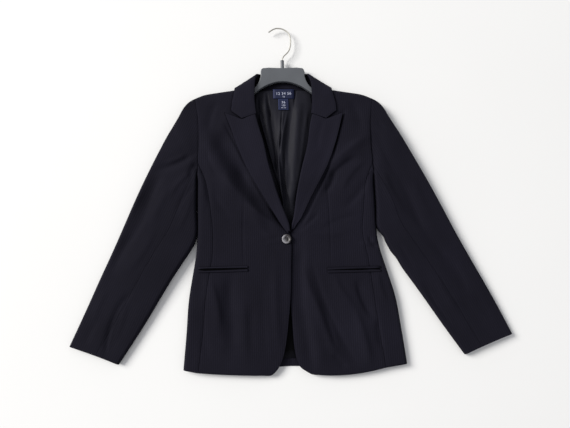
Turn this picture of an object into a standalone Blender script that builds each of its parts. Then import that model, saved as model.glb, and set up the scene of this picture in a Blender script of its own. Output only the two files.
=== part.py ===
"""A single breasted blazer with peaked lapels, laid flat on its plain hanger.

Tables and sizes are in millimetres and the solids are built in metres. The back rests on the
floor at z = 0, the collar points to +Y and the fronts face up. Right and left are the wearer's:
right is at -X. In the tables "out" is the distance from the centre line, to either side.
"""
import math
from collections import namedtuple

import bmesh
import bpy
from mathutils import Vector

MM = 0.001
COLLECTION = "single_breasted_blazer"
SIDES = {"right": -1, "left": 1}

# ---- Cloth ----------------------------------------------------------------------------------
WALL = 1.8            # jacket cloth with its fused backing
LINING_WALL = 1.0
LABEL_WALL = 1.0
WELT_WALL = 1.2
SEAM = 0.3            # clearance between pieces that are sewn or lie together
FLOOR_Z = WALL / 2    # middle of the cloth that rests on the floor

BodyRow = namedtuple("BodyRow", "y side_right side_left seam_right seam_left height")
BODY = [  # body edge, seam of front and side panel (armhole from y = 62 up), middle of the front
    BodyRow(-367, 219, 238, 188, 192, 12.8),
    BodyRow(-281, 212, 229, 178, 182, 13.4),
    BodyRow(-233, 209, 223, 174, 177, 14.2),
    BodyRow(-165, 199, 206, 164, 170, 15.2),
    BodyRow(-129, 193, 196, 158, 165, 16.0),
    BodyRow(-90, 190.5, 190.5, 157, 158, 17.0),
    BodyRow(-40, 190, 190, 161, 163, 19.0),
    BodyRow(12, 190, 190, 169, 169, 20.5),
    BodyRow(35, 190, 190, 175, 175, 21.0),
    BodyRow(62, 190, 190, 187, 187, 21.0),
    BodyRow(110, 190, 190, 186.5, 186.5, 20.5),
    BodyRow(150, 191, 191, 187.5, 187.5, 20.0),
    BodyRow(187, 195, 195, 192, 192, 19.0),
    BodyRow(212, 199, 199, 196, 196, 18.5),
]
HEM_Y, SIDE_HEM_Y, BACK_HEM_Y = -367, -361, -360   # at the seams, the body's edges, the middle
HEM_BOW = {"right": 1.5, "left": 7.0}              # how far each front's hem dips at its middle
HEM_ROWS = 0.3                                     # share of the front that follows the dip
UNDERARM_Y, ARMHOLE_END_Y = 36, 62
NECK_POINT_OUT, NECK_POINT_Y = 73, 241             # top of the front, at the neck
SHOULDER_TIP_OUT, SHOULDER_TIP_Y = 196, 212        # top of the front, at the armhole
SHOULDER_ROWS = 0.2                                # share of a panel that follows the shoulder
SHOULDER_TILT = 0.022                              # slope of the line across both shoulders
TILT_FADE = (-150, 100)                            # the body straightens below the chest

ShoulderRow = namedtuple("ShoulderRow", "out y")
SHOULDER = [  # the body's top edge, from the centre back out to the armhole
    ShoulderRow(0, 240),
    ShoulderRow(60, 242),
    ShoulderRow(NECK_POINT_OUT, NECK_POINT_Y),
    ShoulderRow(103, 233),
    ShoulderRow(140, 227),
    ShoulderRow(174, 221),
    ShoulderRow(SHOULDER_TIP_OUT, SHOULDER_TIP_Y),
]
SHOULDER_ROUND = 10   # how far in from the shoulder line the cloth begins to turn down
SIDE_ROUND = 0.55     # the same at the sides, as a share of the front's height
RIDGE_GAP = 1.2       # how far the back stays below the front along the shoulder seam
RIDGE_FADE = (62, 78) # the back is flat within the neck

EdgeRow = namedtuple("EdgeRow", "y right left")
FRONT_EDGE = [  # inner edge of each front: rounded hem corner, closing edge, roll line, neckline
    EdgeRow(-376, 41, 42),
    EdgeRow(-369, 31, 30),
    EdgeRow(-362, 25, 20),
    EdgeRow(-351, 19, 13),
    EdgeRow(-330, 12, 9),
    EdgeRow(-310, 8, 7),
    EdgeRow(-268, 2, 5),
    EdgeRow(-220, -3, 2),
    EdgeRow(-160, -6, -8),
    EdgeRow(-112, -8, -12),
    EdgeRow(-94, -8, -2),
    EdgeRow(-77, -4.7, 12.9),
    EdgeRow(3, 19, 28.0),
    EdgeRow(61, 35, 41.5),
    EdgeRow(98, 45.5, 52),
    EdgeRow(151, 61, 61),
    EdgeRow(165, 64.6, 64.6),
    EdgeRow(172, 65.8, 65.8),
    EdgeRow(180, 67, 67),
    EdgeRow(205, 69.8, 69.8),
    EdgeRow(226, 71.8, 71.8),
    EdgeRow(241, 73.6, 73.6),
]
FRONT_HEM_Y, BREAK_Y, GORGE_Y = -376, -77, 172
UNDERLAP = 3.8                    # how much lower the left front lies under the right front
UNDERLAP_OUT = (44, 14)
UNDERLAP_TOP, UNDERLAP_END = (-10, -60), (-330, -270)
EDGE_DROOP, DROOP_WIDTH = 2.2, 22 # how far the free front edges sink at the hem
DROOP_FADE = (-190, -310)

FoldRow = namedtuple("FoldRow", "x0 y0 x1 y1 width lift")
FOLDS = [  # soft troughs (lift below 0) and ridges on the upper side, x from -X to +X
    FoldRow(-149, 106, -100, 27, 15, -3.5),
    FoldRow(-104, 32, -60, -35, 14, -4.5),
    FoldRow(-64, -30, -18, -70, 11, -3.0),
    FoldRow(-172, 88, -112, -8, 13, 2.2),
    FoldRow(-118, -180, -120, -330, 13, -3.0),
    FoldRow(-164, -185, -144, -285, 16, 2.0),
    FoldRow(145, -193, 170, -262, 13, -2.6),
    FoldRow(68, -190, 128, -345, 14, -3.0),
    FoldRow(150, -262, 160, -352, 13, 1.8),
    FoldRow(178, 116, 108, 62, 15, 2.4),
    FoldRow(112, 44, 84, -4, 13, -3.0),
    FoldRow(-200, 82, -276, 52, 13, -3.0),
    FoldRow(-272, 34, -310, -50, 15, -4.0),
    FoldRow(-320, -70, -364, -154, 15, -2.6),
    FoldRow(-330, -212, -374, -310, 12, -2.2),
    FoldRow(204, 20, 255, -50, 13, 2.0),
    FoldRow(230, 20, 282, -80, 14, -4.0),
    FoldRow(292, -100, 362, -205, 15, -2.6),
    FoldRow(284, -196, 330, -278, 10, -1.6),
]

# ---- Sleeves --------------------------------------------------------------------------------
SleeveRow = namedtuple(
    "SleeveRow", "outer_x outer_y inner_x inner_y follow seam_right seam_left height")
SLEEVE = [  # ring by ring from armhole to cuff; follow is 1 where the ring is the armhole itself,
    # and seam is the visible seam's share of the width from the inner edge
    SleeveRow(196, 212, 191.3, 38, 1.0, 0.08, 0.08, 18.5),
    SleeveRow(209, 204, 191.3, 36, 0.7, 0.09, 0.09, 19.0),
    SleeveRow(221, 189, 191.3, 32, 0.3, 0.10, 0.10, 20.0),
    SleeveRow(232, 168, 191.3, 26, 0.0, 0.12, 0.12, 21.0),
    SleeveRow(248, 139, 191.3, 18, 0.0, 0.15, 0.15, 21.5),
    SleeveRow(271, 95, 191.3, 4, 0.0, 0.20, 0.20, 21.0),
    SleeveRow(300, 36, 191.3, -30, 0.0, 0.29, 0.28, 20.0),
    SleeveRow(329, -28, 191.8, -92, 0.0, 0.39, 0.36, 18.5),
    SleeveRow(359, -98, 228, -150, 0.0, 0.43, 0.38, 17.0),
    SleeveRow(391, -168, 270.5, -216, 0.0, 0.44, 0.38, 15.0),
    SleeveRow(423, -238, 313, -284, 0.0, 0.45, 0.365, 13.0),
    SleeveRow(454, -308, 354, -346, 0.0, 0.46, 0.34, 11.5),
]
ELBOW_ROW = 7         # row of the table where the sleeve leaves the body's side
UPPER_RINGS, LOWER_RINGS = 10, 6
SLEEVE_ROUND = 8      # roundness of the sleeve's edges, at most this share of its upper cloth
SLEEVE_ROUND_SHARE = 0.8
CROWN = 1.5           # how much higher the sleeve is at the middle of its width
HIND_SEAM = 0.905     # seam under the sleeve, as a share of its width from the inner edge
CUFF_BOW = -1.5       # how far the cuff's edge bends down at its middle
CUFF_FADE = (8, 11)   # rows of the table over which the rings take the cuff's bend
SLEEVE_LEAN = 3.5     # how far both lower sleeves lie over to +X
LEAN_FADE = (-100, -260)

# ---- Lapels and collar ----------------------------------------------------------------------
ROLL_RADIUS = 2.2     # roundness of the turned edge, to the middle of the cloth
ROLL_START = 0.6      # flat cloth between the seam with the front and the turn
LAPEL_REST = 2.9      # middle of the lapel's outer edge above the middle of the front
LapelRow = namedtuple("LapelRow", "y right left")
LAPEL_EDGE = [  # outer edge of each lapel, from its lower end up to the peak
    LapelRow(-88, 0.5, 14.5),
    LapelRow(5, 57, 62),
    LapelRow(57, 85, 90),
    LapelRow(139, 116, 119),
    LapelRow(160, 121, 123),
    LapelRow(177, 130, 129),
]
LAPEL_END_Y, PEAK_OUT, PEAK_Y = -88, 130, 177
NOTCH_OUT, NOTCH_Y = 92, 162
GORGE_ROWS = 0.2      # share of the lapel that follows the gorge
LAPEL_SHARES = [0, 0.15, 0.28, 0.416, 0.6, 0.8, 1]   # columns across it, one through the notch
LAPEL_SETTLE = 0.8    # share of the lapel's width over which it sinks from the turn to its rest

CollarRow = namedtuple(
    "CollarRow",
    "neck_x neck_y neck_z fold_x fold_y fold_z edge_x edge_y edge_z turn radius dip",
)
COLLAR = [  # half the collar, gorge to centre back: neck seam, fold and outer edge; turn is the
    # angle of the fall's outer side from straight up (0, on the front) to down (180, at the back),
    # and dip is how far the gorge draws the fall down at the notch
    CollarRow(65.3, 173, 20.0, 63.0, 173.3, 22.2, 115, 181.3, 22.9, 0, 2.2, 14.6),
    CollarRow(67.9, 190, 19.6, 65.0, 191, 21.8, 114, 198, 22.6, 0, 2.2, 5.0),
    CollarRow(69.5, 207, 19.2, 65.8, 210, 21.6, 111, 213, 22.3, 0, 2.2, 1.0),
    CollarRow(71.0, 226, 18.6, 65.0, 232, 21.2, 108, 227, 21.6, 0, 2.2, 0),
    CollarRow(71.6, 238.5, 16.5, 63.5, 253, 19.0, 106.5, 234.8, 18.0, 30, 2.2, 0),
    CollarRow(71.5, 244.4, 10.5, 58.5, 268, 11.5, 104, 238.6, 10.0, 90, 2.0, 0),
    CollarRow(66.0, 244, 5.0, 50.5, 272.5, 3.6, 99, 231.5, 1.0, 150, 1.4, 0),
    CollarRow(52.0, 242.6, 3.6, 38, 273.5, 2.15, 80, 219, 0.9, 180, 1.25, 0),
    CollarRow(27.0, 241.2, 3.4, 20, 274.5, 2.15, 42, 211, 0.9, 180, 1.25, 0),
    CollarRow(0.0, 240.6, 3.4, 0, 275, 2.15, 0, 209, 0.9, 180, 1.25, 0),
]
COLLAR_STEPS = 2
FallPoint = namedtuple("FallPoint", "share dip")
COLLAR_FALL = [  # points of the fall from fold to edge, and how much of the gorge's dip each takes
    FallPoint(0.28, 0.5),
    FallPoint(0.56, 1),
    FallPoint(0.78, 0.5),
    FallPoint(1, 0),
]
CREASE_OUTWARD = Vector((0.6, 0.8, 0.0))   # plan direction that the side of the neck faces
BACK_OVER_FALL = 3.2                       # middle of the back where the collar's fall is below
FALL_LENGTH, FALL_WIDTH = (165, 205), (124, 104)

# ---- Back lining, labels, pockets, button ---------------------------------------------------
LINING_TOP_Y = 235
LINING_OUT, LINING_NECK_OUT, LINING_TAPER = 150, 61, (140, 210)
LINING_FOLDS = [
    FoldRow(-43, 210, -22, 66, 6, 4.5),
    FoldRow(-22, 66, -2, -40, 5, 3.0),
    FoldRow(-28, 200, -19, 50, 6, -2.2),
    FoldRow(-5, 176, -9, 30, 7, 3.6),
    FoldRow(19, 208, 2, 60, 6, -2.4),
    FoldRow(36, 212, 20, 50, 9, 4.5),
    FoldRow(20, 50, 10, -20, 6, 3.0),
    FoldRow(60, 190, 38, 54, 7, -1.6),
]
LINING_SWELL = 2.6    # how far the lining stands off the back in the neck opening
SWELL_OUT, SWELL_TOP, SWELL_END = (70, 45), (214, 190), (-70, -10)
NECK_LABEL = {"x": 1, "y": 226, "width": 47, "depth": 22}
SIZE_LABEL = {"x": 0, "y": 201, "width": 22, "depth": 26}
LINING_STEP_OUT, LINING_LOW_ROWS = 100, [-344, -200, -60]   # sparse where the lining lies flat
RIPPLE_COLUMNS, RIPPLE_ROWS, RIPPLE_Y = 20, 11, (-10, 220)
LABEL_COLUMNS, LABEL_ROWS = 3, 2

PocketRow = namedtuple("PocketRow", "side y inner outer")
POCKETS = [PocketRow("right", -160, 84, 187), PocketRow("left", -168, 82, 193)]
WELT_WIDTH = 5.2
WELT_SPLIT = 0.6
WELT_GAP = 0.45       # above the front, which is rounder than the welt's few faces

BUTTON_X, BUTTON_Y = -1.4, -100.7
BUTTON_PROFILE = [(0, 2.1), (6.0, 2.1), (7.2, 3.1), (8.9, 3.4), (10, 2.6), (10, 1.2), (8.6, 0.2),
                  (5.5, 0), (0, 0)]     # radius and height
BUTTON_HOLE_RADIUS, BUTTON_HOLE_SPREAD, BUTTON_HOLE_DEPTH = 1.0, 1.9, 12
BUTTON_GAP = 0.4      # above the cloth, which curves a little under the button

# ---- Hanger ---------------------------------------------------------------------------------
HANGER_BASE, HANGER_THICK, HANGER_ROUND = 6.4, 9.2, 1.5
HANGER_STEPS = 3      # straight lengths from point to point of the outline
HangerRow = namedtuple("HangerRow", "out y")
HANGER = [  # half the outline, from the top of the plate round the arm to the plate's lower arc
    HangerRow(0, 284),
    HangerRow(43, 284),
    HangerRow(47, 281.5),
    HangerRow(49, 276),
    HangerRow(49.5, 263),
    HangerRow(60, 241),
    HangerRow(80, 227),
    HangerRow(103, 220),
    HangerRow(140, 213),
    HangerRow(172, 206),
    HangerRow(183, 201),
    HangerRow(187, 194),
    HangerRow(183, 188),
    HangerRow(172, 187),
    HangerRow(140, 194),
    HangerRow(103, 203),
    HangerRow(76, 215),
    HangerRow(58, 229),
    HangerRow(32, 245),
    HangerRow(0, 252),
]
NECK_RADIUS, NECK_FOOT_Y, NECK_TOP_Y = 4.0, 270, 303
WIRE_RADIUS = 1.5
WirePoint = namedtuple("WirePoint", "x y")
HOOK = [  # middle of the wire: a short swan neck out of the hanger, then the open round hook
    WirePoint(0.0, 303.3),
    WirePoint(0.6, 308.0),
    WirePoint(4.4, 314.6),
    WirePoint(10.4, 320.6),
    WirePoint(15.9, 328.0),
    WirePoint(19.0, 338.0),
    WirePoint(20.2, 349.0),
    WirePoint(19.6, 360.0),
    WirePoint(15.4, 370.6),
    WirePoint(8.0, 377.4),
    WirePoint(-1.0, 381.2),
    WirePoint(-10.5, 382.0),
    WirePoint(-19.5, 379.0),
    WirePoint(-29.0, 372.3),
]
HOOK_STEPS = 3        # straight lengths of wire from point to point

ORIGIN_X, ORIGIN_Y = 3.5, 2.2     # middle of the whole width and length

# ---- How finely the cloth is divided ----------------------------------------------------------
FRONT_COLUMNS, SIDE_COLUMNS = 11, 3
BACK_COLUMNS = [0, 0.18, 0.34, 0.43, 0.52, 0.64, 0.82, 1]
ROUND_STEPS, TURN_STEPS = 5, 4    # round edges of body and sleeves, turns of lapel and collar
SLEEVE_COLUMNS = {True: (5, 1), False: (3, 4)}   # upper and under half: its upper, its lower cloth
WELT_COLUMNS = 9

# ---- Colours --------------------------------------------------------------------------------
CLOTH = ((0.020, 0.019, 0.027), 0.85, 0.0)
LINING = ((0.022, 0.022, 0.030), 0.35, 0.0)
LABEL = ((0.018, 0.022, 0.050), 0.70, 0.0)
HORN = ((0.27, 0.26, 0.26), 0.30, 0.0)
PLASTIC = ((0.10, 0.11, 0.12), 0.40, 0.0)
STEEL = ((0.60, 0.60, 0.60), 0.25, 1.0)


# ---- Working out places ---------------------------------------------------------------------
def mix(a, b, share):
    return a + (b - a) * share


def ease(value):
    """0 below 0, 1 above 1, smooth between."""
    t = min(1.0, max(0.0, value))
    return t * t * (3 - 2 * t)


def fade(value, span):
    """0 at the first end of the span, 1 at its second, smooth between."""
    return ease((value - span[0]) / (span[1] - span[0]))


def steps(first, last, count):
    return [mix(first, last, i / count) for i in range(count + 1)]


def through(keys, values):
    """A smooth function through the values that never overshoots them."""
    spans = [b - a for a, b in zip(keys, keys[1:])]
    rates = [(b - a) / s for a, b, s in zip(values, values[1:], spans)]
    slopes = [rates[0]]
    for before, after in zip(rates, rates[1:]):
        same_way = before * after > 0
        slopes.append(2 * before * after / (before + after) if same_way else 0.0)
    slopes.append(rates[-1])

    def read(key):
        key = min(max(key, keys[0]), keys[-1])
        i = max(j for j in range(len(spans)) if keys[j] <= key or j == 0)
        t = (key - keys[i]) / spans[i]
        bend_a = slopes[i] * spans[i] * t * (1 - t) ** 2
        bend_b = slopes[i + 1] * spans[i] * t * t * (t - 1)
        return mix(values[i], values[i + 1], ease(t)) + bend_a + bend_b

    return read


def column(rows, key, value):
    return through([getattr(row, key) for row in rows], [getattr(row, value) for row in rows])


def by_index(rows, value):
    return through(list(range(len(rows))), [getattr(row, value) for row in rows])


height_at = column(BODY, "y", "height")
shoulder_y = column(SHOULDER, "out", "y")
side_out = {side: column(BODY, "y", "side_" + side) for side in SIDES}
seam_out = {side: column(BODY, "y", "seam_" + side) for side in SIDES}
front_edge = {side: column(FRONT_EDGE, "y", side) for side in SIDES}
lapel_edge = {side: column(LAPEL_EDGE, "y", side) for side in SIDES}


def fold_lift(folds, x, y):
    """Height that the folds add at one place: round across, fading at both ends."""
    total = 0.0
    for fold in folds:
        along = Vector((fold.x1 - fold.x0, fold.y1 - fold.y0))
        reach = Vector((x - fold.x0, y - fold.y0))
        share = reach.dot(along) / along.length_squared
        if -0.2 < share < 1.2:
            across = abs(along.x * reach.y - along.y * reach.x) / along.length
            both_ends = fade(share, (-0.2, 0.2)) * fade(share, (1.2, 0.8))
            total += fold.lift * both_ends * math.exp(-((across / fold.width) ** 2))
    return total


def turned(height, distance, roundness):
    """Height of cloth that turns down towards its edge, half way to the floor at the edge."""
    middle = (height + FLOOR_Z) / 2
    share = min(1.0, max(0.0, distance / roundness))
    return middle + (height - middle) * math.sqrt(1 - (1 - share) ** 2)


def front_height(side, out, y, folded=True):
    """Middle of the upper cloth of the body before it turns down at the sides."""
    x = out * SIDES[side]
    height = height_at(y)
    if side == "left":
        height -= UNDERLAP * fade(out, UNDERLAP_OUT) * fade(y, UNDERLAP_TOP) * fade(y, UNDERLAP_END)
    free_edge = math.exp(-(max(0.0, out - front_edge[side](y)) / DROOP_WIDTH) ** 2)
    height -= EDGE_DROOP * free_edge * fade(y, DROOP_FADE)
    if folded:
        height += fold_lift(FOLDS, x, y)
    return height


def body_top(side, out, y, folded=True):
    """Middle of the upper cloth anywhere on the body."""
    height = front_height(side, out, y, folded)
    edge = side_out[side](y) - WALL / 2
    if y < ARMHOLE_END_Y:
        height = turned(height, edge - out, SIDE_ROUND * height_at(y))
    return turned(height, shoulder_y(out) - y, SHOULDER_ROUND)


def back_height(out, y):
    """Middle of the back: on the floor, and over the collar's fall near the neck."""
    flat = mix(FLOOR_Z, BACK_OVER_FALL, fade(y, FALL_LENGTH) * fade(out, FALL_WIDTH))
    middle = (height_at(y) + FLOOR_Z) / 2 - RIDGE_GAP
    share = min(1.0, max(0.0, (shoulder_y(out) - y) / SHOULDER_ROUND))
    rise = (1 - math.sqrt(1 - (1 - share) ** 2)) * fade(out, RIDGE_FADE)
    return mix(flat, middle, rise)


def lining_height(x, y):
    """Middle of the back lining, which lies on the back and ripples in the neck opening."""
    opening = fade(abs(x), SWELL_OUT) * fade(y, SWELL_TOP) * fade(y, SWELL_END)
    clear = back_height(abs(x), y) + WALL / 2 + 2 * SEAM + LINING_WALL / 2
    return clear + opening * max(0.0, LINING_SWELL + fold_lift(LINING_FOLDS, x, y))


# ---- Blender objects ------------------------------------------------------------------------
def clear_scene():
    for old in list(bpy.data.objects):
        bpy.data.objects.remove(old, do_unlink=True)


def new_collection(name):
    collection = bpy.data.collections.new(name)
    bpy.context.scene.collection.children.link(collection)
    return collection


def material(name, look):
    colour, roughness, metallic = look
    made = bpy.data.materials.new(name)
    made.use_nodes = True
    shader = made.node_tree.nodes["Principled BSDF"]
    shader.inputs["Base Color"].default_value = (*colour, 1.0)
    shader.inputs["Roughness"].default_value = roughness
    shader.inputs["Metallic"].default_value = metallic
    return made


def add_object(name, data, look, collection):
    made = bpy.data.objects.new(name, data)
    made.data.materials.append(material(name, look))
    collection.objects.link(made)
    return made


def metres(x, y, z):
    """A place from the tables in metres from the origin, with the shoulders' tilt."""
    tilt = SHOULDER_TILT * x * fade(y, TILT_FADE)
    return ((x - ORIGIN_X) * MM, (y - tilt - ORIGIN_Y) * MM, z * MM)


def sheet(name, grid, wall, look, collection):
    """One piece of cloth: the open surface through a grid of points, given its thickness."""
    across = len(grid[0])
    points = [metres(*point) for row in grid for point in row]
    faces = []
    for i in range(len(grid) - 1):
        for j in range(across - 1):
            a = i * across + j
            faces.append((a, a + 1, a + across + 1, a + across))
    mesh = bpy.data.meshes.new(name)
    mesh.from_pydata(points, [], faces)
    mesh.shade_smooth()
    made = add_object(name, mesh, look, collection)
    thickness = made.modifiers.new("thickness", "SOLIDIFY")
    thickness.thickness = wall * MM
    thickness.offset = 0.0
    thickness.use_quality_normals = True
    return made


def as_mesh(curve_object):
    """Turn a curve object into a welded mesh object of the same name."""
    name = curve_object.name
    look = curve_object.data.materials[0]
    evaluated = curve_object.evaluated_get(bpy.context.evaluated_depsgraph_get())
    mesh = bpy.data.meshes.new_from_object(evaluated)
    welded = bmesh.new()
    welded.from_mesh(mesh)
    bmesh.ops.remove_doubles(welded, verts=welded.verts, dist=1e-6)
    bmesh.ops.recalc_face_normals(welded, faces=welded.faces)
    welded.to_mesh(mesh)
    welded.free()
    collection = curve_object.users_collection[0]
    matrix = curve_object.matrix_world.copy()
    bpy.data.objects.remove(curve_object, do_unlink=True)
    made = bpy.data.objects.new(name, mesh)
    made.matrix_world = matrix
    made.data.materials.clear()
    made.data.materials.append(look)
    collection.objects.link(made)
    return made


def rod(name, radius, depth, place, along, collection, sides=16):
    """A cylinder that is joined to a solid or cut out of it."""
    mesh = bpy.data.meshes.new(name)
    shape = bmesh.new()
    bmesh.ops.create_cone(shape, cap_ends=True, segments=sides, radius1=radius * MM,
                          radius2=radius * MM, depth=depth * MM)
    shape.to_mesh(mesh)
    shape.free()
    made = bpy.data.objects.new(name, mesh)
    made.location = metres(*place)
    made.rotation_euler = along
    made.hide_render = True
    made.display_type = "WIRE"
    collection.objects.link(made)
    return made


def combine(target, other, operation):
    change = target.modifiers.new(operation.lower() + "_" + other.name, "BOOLEAN")
    change.operation = operation
    change.solver = "EXACT"
    change.object = other


# ---- Body panels ----------------------------------------------------------------------------
def inner_end(outer_y):
    """Where a row of the front that ends at outer_y on the seam begins on the front's edge."""
    return mix(FRONT_HEM_Y, NECK_POINT_Y, share_up(outer_y))


def outer_end(inner_y):
    return mix(HEM_Y, SHOULDER_TIP_Y, (inner_y - FRONT_HEM_Y) / (NECK_POINT_Y - FRONT_HEM_Y))


def outer_rows():
    """Places along the seam and armhole where the rows of the body panels end."""
    hem = [HEM_Y, HEM_Y + 6, HEM_Y + 15]
    skirt = steps(HEM_Y + 34, outer_end(BREAK_Y), 9)
    waist = steps(outer_end(BREAK_Y), ARMHOLE_END_Y, 6)[1:]
    chest = steps(ARMHOLE_END_Y, outer_end(GORGE_Y), 3)[1:]
    neck = steps(outer_end(GORGE_Y), SHOULDER_TIP_Y - SHOULDER_ROUND, 3)[1:]
    ridge = [SHOULDER_TIP_Y - SHOULDER_ROUND * (1 - math.cos(a)) for a in steps(1.1, 0, 2)]
    return hem + skirt + waist + chest + neck + ridge


def share_up(outer_y):
    return (outer_y - HEM_Y) / (SHOULDER_TIP_Y - HEM_Y)


def between(inner, outer, share):
    return mix(inner[0], outer[0], share), mix(inner[1], outer[1], share)


def shoulder_shift(out, straight_y, row_share):
    """Bends a panel's top rows from the straight line across it to the shoulder line."""
    return (shoulder_y(out) - straight_y) * fade(row_share, (1 - SHOULDER_ROWS, 1))


def front_grid(side):
    grid = []
    for outer_y in outer_rows():
        row_share = share_up(outer_y)
        inner_y = inner_end(outer_y)
        inner = (front_edge[side](inner_y), inner_y)
        outer = (seam_out[side](outer_y), outer_y)
        line = []
        for share in steps(0, 1, FRONT_COLUMNS):
            out, y = between(inner, outer, share)
            past_neck = max(out, NECK_POINT_OUT)
            line_share = (past_neck - NECK_POINT_OUT) / (SHOULDER_TIP_OUT - NECK_POINT_OUT)
            straight_y = mix(NECK_POINT_Y, SHOULDER_TIP_Y, line_share)
            y += shoulder_shift(past_neck, straight_y, row_share)
            y -= HEM_BOW[side] * 4 * share * (1 - share) * fade(row_share, (HEM_ROWS, 0))
            line.append((out * SIDES[side], y, body_top(side, out, y)))
        grid.append(line)
    return grid


def back_grid(side):
    grid = []
    for outer_y in outer_rows():
        row_share = share_up(outer_y)
        inner = (SEAM / 2, mix(BACK_HEM_Y, SHOULDER[0].y, row_share))
        outer = (seam_out[side](outer_y), outer_y)
        line = []
        for share in BACK_COLUMNS:
            out, y = between(inner, outer, share)
            y += shoulder_shift(out, mix(SHOULDER[0].y, SHOULDER_TIP_Y, share), row_share)
            line.append((out * SIDES[side], y, back_height(out, y)))
        grid.append(line)
    return grid


def side_grid(side):
    """The side panel: seam, upper flat, round edge, lower flat, seam."""
    grid = []
    for seam_y in outer_rows():
        if seam_y > ARMHOLE_END_Y:
            break
        row_share = (seam_y - HEM_Y) / (ARMHOLE_END_Y - HEM_Y)
        edge_y = mix(SIDE_HEM_Y, UNDERARM_Y, row_share)
        seam = seam_out[side](seam_y) + SEAM
        edge = side_out[side](edge_y) - WALL / 2
        roundness = min(SIDE_ROUND * height_at(edge_y), edge - seam - 1)
        line = []
        for out in steps(seam, edge - roundness, SIDE_COLUMNS):
            y = mix(seam_y, edge_y, (out - seam) / (edge - seam))
            line.append((out, y, front_height(side, out, y)))
        top = line[-1][2]
        for angle in steps(0, math.pi, ROUND_STEPS)[1:]:
            out = edge - roundness + roundness * math.sin(angle)
            y = mix(seam_y, edge_y, (out - seam) / (edge - seam))
            line.append((out, y, mix(FLOOR_Z, top, (1 + math.cos(angle)) / 2)))
        line.append((seam, seam_y, FLOOR_Z))
        grid.append([(out * SIDES[side], y, z) for out, y, z in line])
    return grid


def build_body(collection):
    for side in SIDES:
        sheet("front_" + side, front_grid(side), WALL, CLOTH, collection)
        sheet("side_" + side, side_grid(side), WALL, CLOTH, collection)
        sheet("back_" + side, back_grid(side), WALL, CLOTH, collection)


# ---- Sleeves --------------------------------------------------------------------------------
def sleeve_ring(position):
    """Sizes of the sleeve's ring at a place between the rows of its table."""
    read = {name: by_index(SLEEVE, name)(position) for name in SleeveRow._fields}
    return SleeveRow(**read)


def armhole_bend(share):
    """How far the armhole lies outside the straight line between its two ends."""
    first = SLEEVE[0]
    y = mix(first.inner_y, first.outer_y, share)
    low_end = mix(first.inner_x, seam_out["right"](ARMHOLE_END_Y),
                  (y - first.inner_y) / (ARMHOLE_END_Y - first.inner_y))
    out = seam_out["right"](y) if y > ARMHOLE_END_Y else low_end
    return out + SEAM - mix(first.inner_x, first.outer_x, share)


def sleeve_place(ring, share, bow):
    """Plan position on a ring, from its inner edge (0) to its outer edge (1)."""
    out, y = between((ring.inner_x, ring.inner_y), (ring.outer_x, ring.outer_y), share)
    return out + ring.follow * armhole_bend(share), y - bow * 4 * share * (1 - share)


def sleeve_grid(side, upper):
    """One half of the sleeve: upper cloth, round edge and the cloth under it to the hind seam."""
    grid = []
    on_top, below = SLEEVE_COLUMNS[upper]
    upper_arm = steps(0, ELBOW_ROW, UPPER_RINGS)
    forearm = steps(ELBOW_ROW, len(SLEEVE) - 1, LOWER_RINGS)
    for position in upper_arm + forearm[1:]:
        ring = sleeve_ring(position)
        seam = getattr(ring, "seam_" + side)
        bow = CUFF_BOW * fade(position, CUFF_FADE)
        width = math.hypot(ring.outer_x - ring.inner_x, ring.outer_y - ring.inner_y)
        roundness = min(SLEEVE_ROUND, SIDE_ROUND * ring.height, SLEEVE_ROUND_SHARE * seam * width)
        edge_share = roundness / width
        near, far = (1, 1 - edge_share) if upper else (0, edge_share)
        line = []
        for share in steps(seam + (SEAM if upper else -SEAM) / 2 / width, far, on_top):
            out, y = sleeve_place(ring, share, bow)
            lift = CROWN * math.sin(math.pi * share) + fold_lift(FOLDS, out * SIDES[side], y)
            line.append((out, y, ring.height + lift * (1 - ring.follow)))
        top = line[-1][2]
        for angle in steps(0, math.pi, ROUND_STEPS)[1:]:
            share = mix(far, near, math.sin(angle))
            line.append((*sleeve_place(ring, share, bow),
                         mix(FLOOR_Z, top, (1 + math.cos(angle)) / 2)))
        hind = HIND_SEAM + (SEAM if upper else -SEAM) / 2 / width
        for share in steps(far, hind, below)[1:]:
            line.append((*sleeve_place(ring, share, bow), FLOOR_Z))
        grid.append([(out * SIDES[side] + SLEEVE_LEAN * fade(y, LEAN_FADE), y, z)
                     for out, y, z in line])
    return grid


def build_sleeves(collection):
    for side in SIDES:
        sheet("sleeve_top_" + side, sleeve_grid(side, True), WALL, CLOTH, collection)
        sheet("sleeve_under_" + side, sleeve_grid(side, False), WALL, CLOTH, collection)


# ---- Lapels and collar ----------------------------------------------------------------------
def gorge_y(out):
    """The lapel's upper edge: along the collar as far as the notch, then up to the peak."""
    roll = front_edge["right"](GORGE_Y)
    if out < NOTCH_OUT:
        return mix(GORGE_Y, NOTCH_Y, (out - roll) / (NOTCH_OUT - roll))
    return mix(NOTCH_Y, PEAK_Y, (out - NOTCH_OUT) / (PEAK_OUT - NOTCH_OUT))


def lapel_rows():
    """The rows of the front that end on the roll line, from the collar down to the break."""
    rows = [inner_end(outer_y) for outer_y in outer_rows()]
    return [y for y in reversed(rows) if BREAK_Y - 0.1 < y < GORGE_Y + 0.1]


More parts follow.
